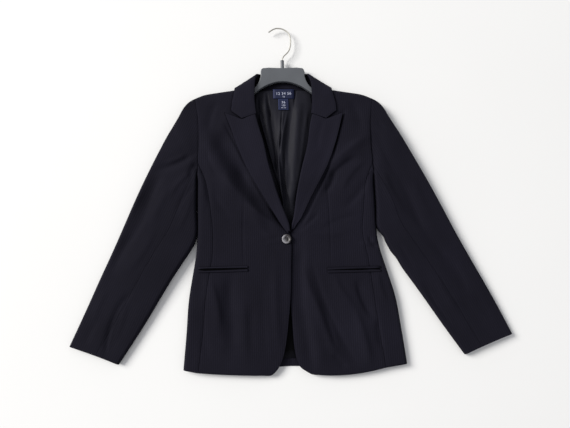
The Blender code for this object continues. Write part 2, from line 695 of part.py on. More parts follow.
def lapel_grid(side):
    """The lapel: a half round turned edge, then the cloth that lies on the front."""
    grid = []
    for roll_y in lapel_rows():
        share_down = (GORGE_Y - roll_y) / (GORGE_Y - BREAK_Y)
        start = front_edge[side](roll_y) - SEAM
        roll = start - ROLL_START
        edge_y = mix(PEAK_Y, LAPEL_END_Y, share_down)
        edge = lapel_edge[side](edge_y)
        low = front_height(side, roll, roll_y, False)
        line = [(start, roll_y, low)]
        for angle in steps(0, math.pi, TURN_STEPS)[:-1]:
            line.append((roll - ROLL_RADIUS * math.sin(angle), roll_y,
                         low + ROLL_RADIUS * (1 - math.cos(angle))))
        for share in LAPEL_SHARES:
            out, y = between((roll, roll_y), (edge, edge_y), share)
            y += (gorge_y(out) - mix(GORGE_Y, PEAK_Y, share)) * fade(share_down, (GORGE_ROWS, 0))
            rest = mix(2 * ROLL_RADIUS, LAPEL_REST, ease(share / LAPEL_SETTLE))
            line.append((out, y, front_height(side, out, y, False) + rest))
        grid.append([(out * SIDES[side], y, z) for out, y, z in line])
    return grid


def collar_section(row, sign):
    """Neck seam, stand, half round fold and fall of the collar at one place round the neck."""
    mirrored = Vector((sign, 1, 1))
    neck = Vector((row.neck_x, row.neck_y, row.neck_z)) * mirrored
    fold = Vector((row.fold_x, row.fold_y, row.fold_z)) * mirrored
    edge = Vector((row.edge_x, row.edge_y, row.edge_z)) * mirrored
    turn = math.radians(row.turn)
    outward = CREASE_OUTWARD * mirrored * math.sin(turn) + Vector((0, 0, math.cos(turn)))
    upward = fold - neck
    upward -= outward * upward.dot(outward)
    upward.normalize()
    line = [neck.lerp(fold - outward * row.radius, share) for share in (0, 0.5)]
    for angle in steps(0, math.pi, TURN_STEPS):
        around = upward * math.sin(angle) - outward * math.cos(angle)
        line.append(fold + around * row.radius)
    start = line[-1]
    for point in COLLAR_FALL:
        line.append(start.lerp(edge, point.share) - Vector((0, row.dip * point.dip, 0)))
    return [tuple(point) for point in line]


def collar_grid():
    half = []
    count = (len(COLLAR) - 1) * COLLAR_STEPS
    for i in range(count + 1):
        place = i / COLLAR_STEPS
        read = {name: by_index(COLLAR, name)(place) for name in CollarRow._fields}
        half.append(CollarRow(**read))
    right = [collar_section(row, -1) for row in half]
    left = [collar_section(row, 1) for row in reversed(half[:-1])]
    return right + left


def build_collar(collection):
    for side in SIDES:
        sheet("lapel_" + side, lapel_grid(side), WALL, CLOTH, collection)
    sheet("collar", collar_grid(), WALL, CLOTH, collection)


# ---- Lining, labels, pockets, button --------------------------------------------------------
def lining_grid():
    """Close columns and rows in the neck opening, where it ripples, and few elsewhere."""
    rippled = LINING_NECK_OUT - 1
    middle = steps(-rippled, rippled, RIPPLE_COLUMNS)
    columns = [-LINING_OUT, -LINING_STEP_OUT, *middle, LINING_STEP_OUT, LINING_OUT]
    rows = [*LINING_LOW_ROWS, *steps(*RIPPLE_Y, RIPPLE_ROWS), LINING_TOP_Y]
    grid = []
    for y in rows:
        limit = mix(LINING_OUT, LINING_NECK_OUT, fade(y, LINING_TAPER))
        narrower = (limit - rippled) / (LINING_OUT - rippled)
        line = []
        for place in columns:
            beyond = max(0.0, abs(place) - rippled) * narrower
            x = math.copysign(min(abs(place), rippled) + beyond, place)
            line.append((x, y, lining_height(x, y)))
        grid.append(line)
    return grid


def label_grid(label):
    """A label that lies on the lining, made from the lining's own points, moved up."""
    rise = LINING_WALL / 2 + 2 * SEAM + LABEL_WALL / 2
    grid = []
    for y in steps(label["y"] - label["depth"] / 2, label["y"] + label["depth"] / 2, LABEL_ROWS):
        half = label["width"] / 2
        line = []
        for x in steps(label["x"] - half, label["x"] + half, LABEL_COLUMNS):
            line.append((x, y, lining_height(x, y) + rise))
        grid.append(line)
    return grid


def welt_grid(pocket, upper):
    """One lip of a pocket, which follows the front and side panel below it."""
    centre = pocket.y + (WELT_WIDTH + WELT_SPLIT) / 2 * (1 if upper else -1)
    rise = WALL / 2 + WELT_GAP + WELT_WALL / 2
    grid = []
    for out in steps(pocket.inner, pocket.outer, WELT_COLUMNS):
        line = []
        for y in (centre - WELT_WIDTH / 2, centre, centre + WELT_WIDTH / 2):
            line.append((out * SIDES[pocket.side], y, body_top(pocket.side, out, y) + rise))
        grid.append(line)
    return grid


def build_trim(collection, tools):
    sheet("lining_back", lining_grid(), LINING_WALL, LINING, collection)
    sheet("neck_label", label_grid(NECK_LABEL), LABEL_WALL, LABEL, collection)
    sheet("size_label", label_grid(SIZE_LABEL), LABEL_WALL, LABEL, collection)
    for pocket in POCKETS:
        for upper in (True, False):
            name = "welt_" + ("upper_" if upper else "lower_") + pocket.side
            sheet(name, welt_grid(pocket, upper), WELT_WALL, CLOTH, collection)
    build_button(collection, tools)


def build_button(collection, tools):
    """A turned four-hole button that lies on the right front."""
    mesh = bpy.data.meshes.new("button")
    points = [(radius * MM, 0, z * MM) for radius, z in BUTTON_PROFILE]
    mesh.from_pydata(points, [(i, i + 1) for i in range(len(points) - 1)], [])
    button = add_object("button", mesh, HORN, collection)
    turn = button.modifiers.new("turn", "SCREW")
    turn.steps = 20
    turn.render_steps = 20
    turn.use_merge_vertices = True
    turn.merge_threshold = 1e-5
    below = body_top("right", -BUTTON_X, BUTTON_Y) + WALL / 2 + BUTTON_GAP
    button.location = metres(BUTTON_X, BUTTON_Y, below)
    for number, (right, up) in enumerate([(-1, -1), (-1, 1), (1, -1), (1, 1)], 1):
        place = (BUTTON_X + right * BUTTON_HOLE_SPREAD, BUTTON_Y + up * BUTTON_HOLE_SPREAD, below)
        hole = rod(f"button_hole_{number}", BUTTON_HOLE_RADIUS, BUTTON_HOLE_DEPTH, place,
                   (0, 0, 0), tools, 8)
        combine(button, hole, "DIFFERENCE")


# ---- Hanger ---------------------------------------------------------------------------------
def build_hanger(collection, tools):
    """The moulded plate and arms with their neck, and the wire hook."""
    middle = HANGER_BASE + HANGER_THICK / 2
    outline = [(row.out, row.y) for row in HANGER]
    outline += [(-row.out, row.y) for row in reversed(HANGER[1:-1])]
    curve = bpy.data.curves.new("hanger_body", "CURVE")
    curve.dimensions = "2D"
    curve.fill_mode = "BOTH"
    curve.extrude = (HANGER_THICK / 2 - HANGER_ROUND) * MM
    curve.bevel_depth = HANGER_ROUND * MM
    curve.bevel_resolution = 1
    curve.offset = -HANGER_ROUND * MM
    curve.resolution_u = HANGER_STEPS
    line = curve.splines.new("BEZIER")
    line.bezier_points.add(len(outline) - 1)
    for point, (x, y) in zip(line.bezier_points, outline):
        point.co = metres(x, y, 0)
        point.handle_left_type = "AUTO"
        point.handle_right_type = "AUTO"
    line.use_cyclic_u = True
    body = add_object("hanger_body", curve, PLASTIC, collection)
    body.location.z = middle * MM
    bpy.context.view_layer.update()
    body = as_mesh(body)
    place = (0, (NECK_FOOT_Y + NECK_TOP_Y) / 2, middle)
    neck = rod("hanger_neck", NECK_RADIUS, NECK_TOP_Y - NECK_FOOT_Y, place, (math.pi / 2, 0, 0),
               tools)
    combine(body, neck, "UNION")
    build_hook(middle, collection)


def build_hook(middle, collection):
    """Steel wire, bent once by the neck and then round to its open end."""
    last = len(HOOK) - 1
    route = [(by_index(HOOK, "x")(place), by_index(HOOK, "y")(place))
             for place in steps(0, last, last * HOOK_STEPS)]
    curve = bpy.data.curves.new("hanger_hook", "CURVE")
    curve.dimensions = "3D"
    curve.bevel_depth = WIRE_RADIUS * MM
    curve.bevel_resolution = 2
    curve.use_fill_caps = True
    line = curve.splines.new("POLY")
    line.points.add(len(route) - 1)
    for point, (x, y) in zip(line.points, route):
        point.co = (*metres(x, y, middle), 1)
    add_object("hanger_hook", curve, STEEL, collection)


def main():
    clear_scene()
    collection = new_collection(COLLECTION)
    tools = new_collection("cutters")
    build_body(collection)
    build_sleeves(collection)
    build_collar(collection)
    build_trim(collection, tools)
    build_hanger(collection, tools)


main()
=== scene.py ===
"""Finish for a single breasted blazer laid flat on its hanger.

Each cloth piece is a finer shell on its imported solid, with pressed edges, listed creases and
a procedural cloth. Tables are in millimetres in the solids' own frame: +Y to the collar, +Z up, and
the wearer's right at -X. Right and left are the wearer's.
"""

import math
from collections import namedtuple

import bmesh
import bpy
import numpy as np
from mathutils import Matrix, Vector, noise
from mathutils.kdtree import KDTree


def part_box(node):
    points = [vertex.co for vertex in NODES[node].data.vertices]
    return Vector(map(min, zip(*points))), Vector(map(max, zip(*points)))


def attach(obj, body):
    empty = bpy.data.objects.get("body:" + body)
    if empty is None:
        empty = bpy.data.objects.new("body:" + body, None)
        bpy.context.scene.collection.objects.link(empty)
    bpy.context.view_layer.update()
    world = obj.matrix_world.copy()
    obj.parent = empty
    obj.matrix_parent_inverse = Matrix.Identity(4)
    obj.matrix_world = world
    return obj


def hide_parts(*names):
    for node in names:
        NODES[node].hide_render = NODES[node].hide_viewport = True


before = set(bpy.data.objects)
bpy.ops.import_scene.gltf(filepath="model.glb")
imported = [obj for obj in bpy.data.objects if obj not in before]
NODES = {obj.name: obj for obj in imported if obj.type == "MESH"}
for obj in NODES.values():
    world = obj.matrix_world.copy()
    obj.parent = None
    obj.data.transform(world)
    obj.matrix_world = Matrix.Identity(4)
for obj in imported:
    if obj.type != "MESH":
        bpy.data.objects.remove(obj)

bl_info = {
    "name": "Single breasted blazer",
    "version": (1, 0, 0),
    "blender": (4, 5, 0),
    "location": "3D View > Sidebar > Blazer",
    "description": "Builds a tailored blazer, its hanger and a plain studio on the packed frame",
    "category": "Add Mesh",
}

MM = 0.001
WELD = 1e-5                      # metres
RIM_ANGLE = math.radians(55)     # sharper than this is a cut edge of the cloth
QUAD_FLAT, QUAD_SHAPE = math.radians(50), math.radians(60)   # limits for joining two triangles
CAGE_STEPS = 3                   # how often the cage is pushed out against the draw of dividing
QUICK_ROUNDS, BACK_ROUNDS, TRIM_ROUNDS = 2, 2, 3   # rounds of dividing: tests, backs, small pieces

# ---- Cloth creases ----
# A crease runs from (x0, y0) to (x1, y1) and bows by bow at its middle, above 0 to the right,
# looking along it. lift is below 0 for a trough. lean above 0 makes the left flank steeper.
Crease = namedtuple("Crease", "x0 y0 x1 y1 bow width lift lean")


def crease_rows(*rows):
    return [Crease(*row) for row in rows]


FRONT_CREASES = crease_rows(
    # right: the deep roll and ditch beside the lapel, and soft drags from shoulder and armhole
    (-154, 136, -82, 20, -4, 15, -2.5, 0.1),
    (-112, 62, -44, -38, -2, 12, -3.0, 0.1),
    (-58, -10, -2, -80, 1, 8, -2.3, 0.1),
    (-180, 122, -112, -2, -6, 16, 2.7, 0.0),
    (-132, 32, -52, -74, -4, 13, 3.2, 0.0),
    (-84, -28, -14, -86, 0, 8, 2.3, 0.0),
    (-134, 154, -76, 30, -1, 3.2, -0.9, 0.0),
    (-84, 46, -8, -78, 2.5, 3.2, -1.3, 0.0),
    (-172, 92, -146, 34, 4, 5, -0.7, 0.2),
    (-158, 4, -122, -50, 6, 8, -0.7, 0.2),
    (-104, -66, -46, -98, -5, 6, -0.6, 0.3),
    (-126, 188, -150, 124, -5, 12, 0.8, 0.0),
    (-150, 204, -168, 136, 4, 9, -0.9, 0.2),
    (-186, 60, -168, -30, -4, 6, -0.9, -0.2),
    (-56, -101, -18, -97, 2, 3.2, -0.4, 0.2),
    (-50, -113, -20, -109, -2, 3.0, 0.3, 0.2),
    # right skirt
    (-124, -170, -118, -326, 5, 14, -1.2, 0.2),
    (-166, -184, -146, -280, -4, 9, 1.2, 0.3),
    (-78, -236, -84, -330, 3, 11, -0.6, 0.0),
    (-100, -226, -96, -350, -4, 10, 0.6, 0.2),
    (-30, -150, -26, -330, 3, 9, 0.9, 0.0),
    (-56, -200, -50, -350, 4, 10, -0.5, 0.3),
    (-180, -236, -172, -340, 4, 10, -0.7, 0.2),
    (-150, -306, -104, -318, 3, 7, 0.6, 0.0),
    # left: from the armhole to the lapel's edge, and the dart's top
    (180, 118, 98, 54, 5, 9, 1.4, -0.3),
    (150, 70, 90, 24, 4, 7, -1.3, -0.2),
    (104, 40, 82, -6, -3, 6, -1.8, 0.2),
    (168, 62, 116, 2, 6, 8, 0.9, 0.2),
    (170, 20, 120, -40, -5, 8, -1.0, 0.2),
    (66, 20, 36, -44, -3, 6, 0.9, -0.2),
    (130, 176, 99, 68, 4, 5.5, -1.9, 0.2),
    (100, 72, 24, -80, -1, 4.0, -1.5, 0.2),
    (146, 196, 164, 128, -5, 10, -0.9, 0.2),
    (150, -56, 70, -84, 6, 7, -0.5, -0.3),
    (120, -92, 50, -92, -4, 6, 0.4, 0.2),
    (64, -50, 24, -84, -2, 5, -0.9, 0.2),
    (168, -104, 186, -126, 2, 4, -1.4, 0.2),
    (150, -116, 184, -110, 2, 5, 0.8, 0.2),
    # left skirt, low beside the front that laps over it
    (26, -112, 24, -256, 2, 10, -1.5, 0.2),
    (24, -236, 40, -370, 0, 11, -1.9, 0.2),
    (46, -260, 62, -368, 0, 12, 0.9, 0.0),
    (46, -156, 124, -348, 8, 9, -1.7, 0.3),
    (50, -218, 96, -352, 5, 9, 1.2, 0.2),
    (24, -150, 60, -260, 3, 8, 0.9, 0.2),
    (70, -262, 88, -330, -2, 6, -0.8, 0.2),
    (128, -244, 158, -358, -3, 9, 1.3, 0.2),
    (140, -192, 168, -268, 6, 8, -1.5, -0.3),
    (92, -182, 130, -246, 4, 8, 1.0, 0.2),
    (178, -274, 184, -330, 2, 6, -1.2, 0.2),
    (84, -338, 110, -366, 2, 7, -1.0, 0.2),
    (182, -176, 198, -240, 3, 7, 0.9, 0.2),
)
SLEEVE_CREASES = crease_rows(
    # right: drags from the armhole, then the long soft roll down the outside
    (-194, 90, -286, 52, -7, 7, -1.9, 0.2),
    (-214, 86, -262, 66, -2, 5, 1.4, 0.2),
    (-194, 66, -208, 34, 3, 6, -2.4, 0.0),
    (-200, 50, -250, -6, 5, 6, 1.2, 0.2),
    (-198, 16, -236, -44, 5, 6, -1.0, 0.3),
    (-206, -10, -232, -74, -4, 6, 0.9, 0.2),
    (-270, 40, -306, -50, 4, 10, -1.6, 0.3),
    (-302, -42, -346, -110, -3, 9, -1.2, 0.3),
    (-334, -92, -370, -162, 3, 9, -1.4, 0.2),
    (-244, 20, -288, -62, 5, 9, 1.2, 0.0),
    (-282, -78, -338, -162, -5, 9, 1.0, 0.2),
    (-330, -208, -362, -250, 3, 6, -1.6, 0.3),
    (-360, -246, -378, -326, 4, 5, -2.0, 0.3),
    (-398, -262, -420, -310, 3, 8, -1.0, 0.2),
    (-340, -232, -362, -300, -3, 7, 1.0, 0.2),
    (-380, -200, -404, -262, 4, 8, 0.8, 0.2),
    (-226, 186, -246, 128, 6, 9, -0.9, 0.2),
    (-240, 176, -268, 110, 5, 8, 0.8, 0.2),
    (-306, 10, -330, -40, 2, 6, 0.8, 0.2),
    # left
    (200, 126, 236, 28, 6, 9, -1.3, -0.3),
    (236, 28, 282, -92, -5, 8, -1.7, 0.2),
    (280, -88, 336, -154, 5, 8, -1.5, 0.2),
    (334, -150, 366, -226, -4, 9, -1.4, 0.2),
    (204, 40, 250, -56, 5, 9, 1.4, 0.2),
    (252, -60, 322, -160, -4, 9, 1.1, 0.2),
    (280, -206, 332, -292, 3, 6, -1.5, 0.3),
    (306, -190, 344, -262, 3, 6, 0.9, 0.2),
    (270, 20, 300, -60, 4, 9, 0.9, 0.2),
    (356, -236, 398, -286, 4, 9, -0.8, 0.2),
    (384, -210, 424, -296, -5, 9, 0.8, 0.0),
    (212, 178, 240, 116, -6, 9, -1.0, 0.2),
    (200, 150, 216, 132, 2, 4, -0.9, 0.0),
    (232, -120, 262, -168, 3, 5, -0.9, 0.2),
)
LAPEL_CREASES = crease_rows(
    (126, 172, 92, 62, -4, 9, 1.0, 0.0),
    (92, 66, 24, -74, 0, 8, 0.7, 0.0),
    (-108, 148, -60, 40, 6, 14, -0.5, 0.0),
    (-70, 60, -30, -30, -4, 10, 0.5, 0.2),
    (102, 142, 62, 40, -6, 14, -0.6, 0.0),
    (84, 156, 66, 88, 3, 7, -0.8, 0.2),
    (72, 60, 34, -24, 4, 10, 0.5, -0.2),
    (-90, 176, -112, 236, 5, 12, 0.5, 0.0),
    (84, 176, 104, 232, -5, 12, 0.5, 0.0),
)
LINING_CREASES = crease_rows(
    (-7, 182, -14, 88, 0.5, 1.8, -2.6, 0),
    (-35, 197, -26, 105, 1, 4.6, -1.9, 0.2),
    (-26, 118, -18, 32, 1, 3, -2.2, 0.2),
    (-3, 104, -6, 6, 0, 3.2, -1.5, 0.2),
    (-7, 24, 7, -44, 1, 2.6, -1.8, 0.2),
    (-67, 184, -39, 92, 1, 3.6, -2, 0.2),
    (-41, 102, -5, -49, 1, 2.8, -2.2, 0.2),
    (11, 165, 1, 88, 1, 4.4, -1.5, 0.2),
    (61, 178, 43, 72, -1, 3.6, -2.1, 0),
    (45, 92, 15, -40, 0, 3.2, -2.4, 0),
    (25, 240, 20, 195, 0, 2.2, -1.8, 0),
    (-39, 228, -33, 166, 0, 2.4, -1.6, 0.2),
    (-59, 218, -57, 167, 1, 2.6, -1.4, 0.2),
    (-58, 178, -25, 36, 0, 2.4, 4.8, -0.2),
    (-18, 84, -8, -50, 1.5, 2.6, 5.0, -0.2),
    (-3, 182, -20, 85, 1, 2.8, 1.1, -0.2),
    (5, 182, -15, 78, 1, 2.8, 1.5, -0.2),
    (52, 190, 33, 70, 0, 6.5, 1.7, 0),
    (37, 92, 8, -36, 0, 5.5, 1.2, 0),
    (-45, 232, -42, 180, 0, 2.8, 1, 0),
)
WHOLE_PIECE = 9000.0   # a reach so long that all of a piece moves alike
Pull = namedtuple("Pull", "x y right up reach")   # a place, how far it moves, and its reach
PULLS = {  # lapel ends that close over the button, a straighter armpit, a back seam drawn shut
    "lapel_right": [Pull(5.0, -79.0, -0.8, -9.0, 5.5), Pull(-4.0, -90.0, 2.6, -1.5, 6.0)],
    "lapel_left": [Pull(6.0, -79.0, 1.0, -5.0, 4.5), Pull(11.0, -90.0, -6.5, 3.0, 9.0),
                   Pull(20.0, -74.0, -3.5, 0.0, 10.0)],
    "sleeve_under_left": [Pull(190.0, -107.0, 8.0, 5.0, 16.0), Pull(202.0, -126.0, 4.0, 2.0, 14.0),
                          Pull(218.0, -150.0, 3.5, 2.0, 20.0)],
    "back_right": [Pull(0.0, 0.0, 0.14, 0.0, WHOLE_PIECE)],
    "back_left": [Pull(0.0, 0.0, -0.14, 0.0, WHOLE_PIECE)],
}
Slide = namedtuple("Slide", "line right up")      # the same along a crease's line
ROLL_RIGHT = Slide(Crease(-50, 100, -2, -80, 0, 12, 1, 0), -5.5, 0.0)
SLIDES = {"lapel_right": [ROLL_RIGHT], "front_right": [ROLL_RIGHT]}  # the edge where it rolls
DARTS = crease_rows(  # stitched from the chest down into the pocket
    (-92, -8, -95, -158, 3, 1.9, -0.45, 0.0),
    (83, 26, 86, -160, -3, 1.9, -0.45, 0.0),
)

BODY_DEPTH, SLEEVE_DEPTH = 2.2, 1.2     # the tables' lifts times these
LAPEL_DEPTH, LINING_DEPTH = 1.2, 1.3
CREASE_RISE, CREASE_FALL = (-0.12, 0.28), (1.12, 0.70)   # shares of a crease where it fades
FLOOR_CLOTH, UPPER_CLOTH = 2.2, 6.0     # it fades between these heights too, so the underside rests
EDGE_SINK, EDGE_REACH = 0.7, 2.8        # how much thinner pressed edges are, and how far in
SEAM_SINK = 0.35                        # the same, at the sleeves' flat pressed seams
PRESSED_FACE = (0.2, 0.8)               # upward part of the normal: only faces turned up sink
FAR_FROM_RIM = 1000.0                   # where a piece has no rim
FOLD_ROUNDING, ROUNDING_STEPS = 0.45, 2
RUMPLE, LAPEL_RUMPLE, COLLAR_RUMPLE, LINING_RUMPLE = 0.30, 0.15, 0.12, 0.15   # slight waviness
RUMPLE_LENGTH = 52
FINE_RUMPLE, FINE_SHARE, FINE_SHIFT = 2.3, 0.5, 90   # how much finer, lower and further on
RUMPLE_SLICE, FINE_SLICE = 0.37, 0.71   # heights at which the two waves are cut from the noise

# ---- Button, pocket mouths, labels ----
SIDES = ("right", "left")
BUTTON_RINGS = [  # radius, height over the back of the button
    (0.0, 1.55), (2.4, 1.5), (4.0, 1.6), (5.3, 2.1), (6.5, 3.0), (7.8, 3.45), (9.0, 3.25),
    (9.8, 2.5), (10.0, 1.7), (9.5, 0.8), (8.3, 0.3), (5.4, 0.0), (0.0, 0.0),
]
BUTTON_HOLE, BUTTON_SPREAD, BUTTON_SIDES = 1.05, 1.9, 64
BUTTON_ROUNDING, BUTTON_ANGLE = 0.2, math.radians(40)
DRILL_SIDES, DRILL_LENGTH = 24, 10
THREAD_RADIUS, THREAD_FINENESS, STRAND_GAP = 0.32, 3, 0.42
THREAD_FOOT, THREAD_TOP, STRAND_STEP = 0.7, 2.15, 0.1   # heights in the holes and on the bar
MOUTH_DEPTH, MOUTH_HALF, MOUTH_MARGIN, MOUTH_STEPS = 0.35, 2.6, 2.0, 40
LIP_DRAWN, LIP_UNDER, LIP_ROLL = (-0.2, 1.0), (0.3, 1.0), 0.35   # shares across; height
GAPE = {  # half the pocket's opening, at shares of the way from its inner end to the outer
    "right": {"at": (84, 187), "share": (0, 0.1, 0.5, 0.9, 1), "half": (0.5, 1.1, 1.7, 2.0, 0.8)},
    "left": {"at": (82, 193), "share": (0, 0.2, 0.6, 0.8, 0.95, 1),
             "half": (0.3, 0.8, 1.7, 0.8, 1.7, 0.8)},
}

LABEL_BORDERS = {"neck_label": "#1D2446", "size_label": "#2A3358"}
NUMBER_SPACING, NUMBER_THICKNESS, ABOVE_LABEL = 1.1, 0.12, 50
NumberRow = namedtuple("NumberRow", "number x y size")
LABEL_NUMBERS = {  # plain numbers only
    "neck_label": [NumberRow("12 34 56", -2.5, 224.5, 8.8), NumberRow("78", -2.5, 216.8, 4.4)],
    "size_label": [NumberRow("36", -3.5, 203.5, 8.0), NumberRow("100", -3.5, 196.2, 5.4),
                   NumberRow("40 50", -3.5, 190.6, 4.0)],
}

# ---- Weaves and grains: millimetres from line to line, or the size of a blot ----
SLEEVE_GRAIN, LAPEL_GRAIN, WELT_GRAIN, TWILL_LEAN = 24, 14, 90, 27   # degrees
TWILL_DRAWN, TWILL_RELIEF = 6.981, 0.35   # relief as a share of the rib's
RIB_DASH, RIB_BEND, RIB_WAVER = 2.381, 55.56, 0.35   # the ribs waver by a share of their spacing
DYE_CLOUD = 111.1
SATIN_FLOATS = (0.7143, 11.11, 2.5)     # across, along and through the lining
LABEL_RIB, THREAD_TWIST, POCKET_WEAVE = 0.748, 0.3491, 1.4286
PLASTIC_GRAIN, PLASTIC_FLOW, WIRE_SPOT, BOARD_CLOUD = 1.111, 45.45, 3.846, 666.7
HORN_STREAK, BUTTON_WIDTH = 11.765, 20.0

# ---- Camera, lamp, light on the cloth ----
CAMERA_PLACE = (-15.8, -190.2, 940.3)
CAMERA_TURN = (8.676, -0.309, -1.594)     # degrees
CAMERA_LENS, CAMERA_SENSOR = 27.8, 36.0
LAMP_PLACE, LAMP_SIZE = (-9.8, 4.2, 7.2), 5.6   # metres
FLOOR_DROP = 0.02
CLOTH_GAP, LINING_GAP = 0.014, 0.022      # metres: how near other cloth must be for painted shade to darken this
LINING_SPAN = (-0.385, -0.06)             # metres, from the hem up to where the neck opens
# painted light and shade on it, at shares of that span: darkest deep under the closed fronts
LINING_PAINTED_LIGHT = [(0.01, 0.8), (0.10, 0.75), (0.17, 0.10), (0.75, 0.15), (0.99, 1.0)]
SLEEVE_PAINTED_SHADE = 0.92                       # painted shade: the sleeves' cloth darker, as they turn from the light
LAPEL_PAINTED_LIGHT, LAPEL_RIB = 1.28, 0.4        # painted light: a little lighter than the body; pressed doubled cloth: ribs faint


def linear(code):
    """Linear colour of an sRGB hex value."""
    levels = [int(code[i:i + 2], 16) / 255 for i in (1, 3, 5)]
    return tuple(v / 12.92 if v <= 0.04045 else ((v + 0.055) / 1.055) ** 2.4 for v in levels)


# ---- Sizes and colours a user would change ----
class BlazerCloth(bpy.types.PropertyGroup):
    """Colour and surface of the suiting."""

    colour: bpy.props.FloatVectorProperty(
        name="Cloth", description="Ground of the suiting", subtype="COLOR",
        default=linear("#14131C"), min=0, max=1)
    rib_colour: bpy.props.FloatVectorProperty(
        name="Rib", description="The raised tonal rib", subtype="COLOR",
        default=linear("#1B1A25"), min=0, max=1)
    rib_spacing: bpy.props.FloatProperty(
        name="Rib spacing", description="From rib to rib", unit="LENGTH", default=0.0044)
    rounds: bpy.props.IntProperty(
        name="Fineness", description="How often the cloth's faces are divided", default=3,
        min=1, max=4)


class BlazerTrim(bpy.types.PropertyGroup):
    """Colours of the lining, labels, button and hanger."""

    lining: bpy.props.FloatVectorProperty(
        name="Lining", description="Satin back lining", subtype="COLOR",
        default=linear("#202027"), min=0, max=1)
    label: bpy.props.FloatVectorProperty(
        name="Label", description="Woven labels", subtype="COLOR",
        default=linear("#191F3C"), min=0, max=1)
    # pale streaks of the horn, and the painted highlight on its lamp side
    button_streak_and_highlight: bpy.props.FloatVectorProperty(
        name="Button, light", description="Pale streaks of the horn", subtype="COLOR",
        default=linear("#8C8B91"), min=0, max=1)
    button_dark: bpy.props.FloatVectorProperty(
        name="Button, dark", description="Dark streaks of the horn", subtype="COLOR",
        default=linear("#2A2728"), min=0, max=1)
    plastic: bpy.props.FloatVectorProperty(
        name="Hanger", description="Moulded plastic", subtype="COLOR",
        default=linear("#56595E"), min=0, max=1)


class BlazerStudio(bpy.types.PropertyGroup):
    """Floor and light."""

    floor: bpy.props.FloatVectorProperty(
        name="Floor", description="Plain pale floor", subtype="COLOR",
        default=linear("#EEEEEE"), min=0, max=1)
    floor_size: bpy.props.FloatProperty(
        name="Floor size", description="Side of the square floor", unit="LENGTH", default=12.0)
    light: bpy.props.FloatProperty(
        name="Light", description="Strength of the window-sized lamp", unit="POWER",
        default=2080.0)
    fill: bpy.props.FloatProperty(
        name="Fill", description="Strength of the light from all round", default=0.50)


# ---- Materials ----
TIMES = {"operation": "MULTIPLY"}
BLEND = {"data_type": "RGBA"}
TINT = {"data_type": "RGBA", "blend_type": "MULTIPLY"}
NOISE_SPAN = {"From_Min": 0.3, "From_Max": 0.7}   # nearly all values of a noise lie in it


def set_inputs(node, **links):
    """Gives each input a value or a (node, output). One whose name repeats is numbered, as _6."""
    for name, value in links.items():
        socket = node.inputs[int(name[1:]) if name[1:].isdigit() else name.replace("_", " ")]
        if isinstance(value, tuple) and isinstance(value[0], bpy.types.Node):
            node.id_data.links.new(value[0].outputs[value[1]], socket)
        else:
            socket.default_value = value


def add_node(tree, kind, settings=None, **links):
    """Adds a node with its settings, which are its properties, and its inputs."""
    made = tree.nodes.new(kind)
    for name, value in (settings or {}).items():
        setattr(made, name, value)
    set_inputs(made, **links)
    return made


def new_material(name):
    """A material, its tree, its shader and the node that tells its patterns their place."""
    made = bpy.data.materials.new(name)
    made.use_nodes = True
    tree = made.node_tree
    return made, tree, tree.nodes["Principled BSDF"], add_node(tree, "ShaderNodeTexCoord")


def plain(colour):
    return (*colour, 1.0)


def blots(size):
    """Scale of a noise whose blots are about so many millimetres across."""
    return 1 / (size * MM)


def bands(spacing):
    """Scale of a wave texture whose bands lie so many millimetres apart."""
    return math.pi / 10 / (spacing * MM)


def painted_gap_shade(tree, reach):
    """Painted shade: 1 in the open, down to nearly 0 in a narrow gap between folds or pieces."""
    near = add_node(tree, "ShaderNodeAmbientOcclusion", {"samples": 8}, Distance=reach)
    return add_node(tree, "ShaderNodeMapRange", Value=(near, "AO"), From_Min=0.25,
                    From_Max=0.85, To_Min=0.06, To_Max=1.0)


def shade(tree, shader, colour, reach, gloss):
    """Gives the shader its colour and gloss, both darkened in narrow gaps by painted shade."""
    depth = painted_gap_shade(tree, reach)
    deep = add_node(tree, "ShaderNodeMix", TINT, Factor=1.0, _6=colour, _7=(depth, "Result"))
    shine = add_node(tree, "ShaderNodeMath", TIMES, _0=(depth, "Result"), _1=gloss)
    set_inputs(shader, Base_Color=(deep, 2), Specular_IOR_Level=(shine, "Value"))


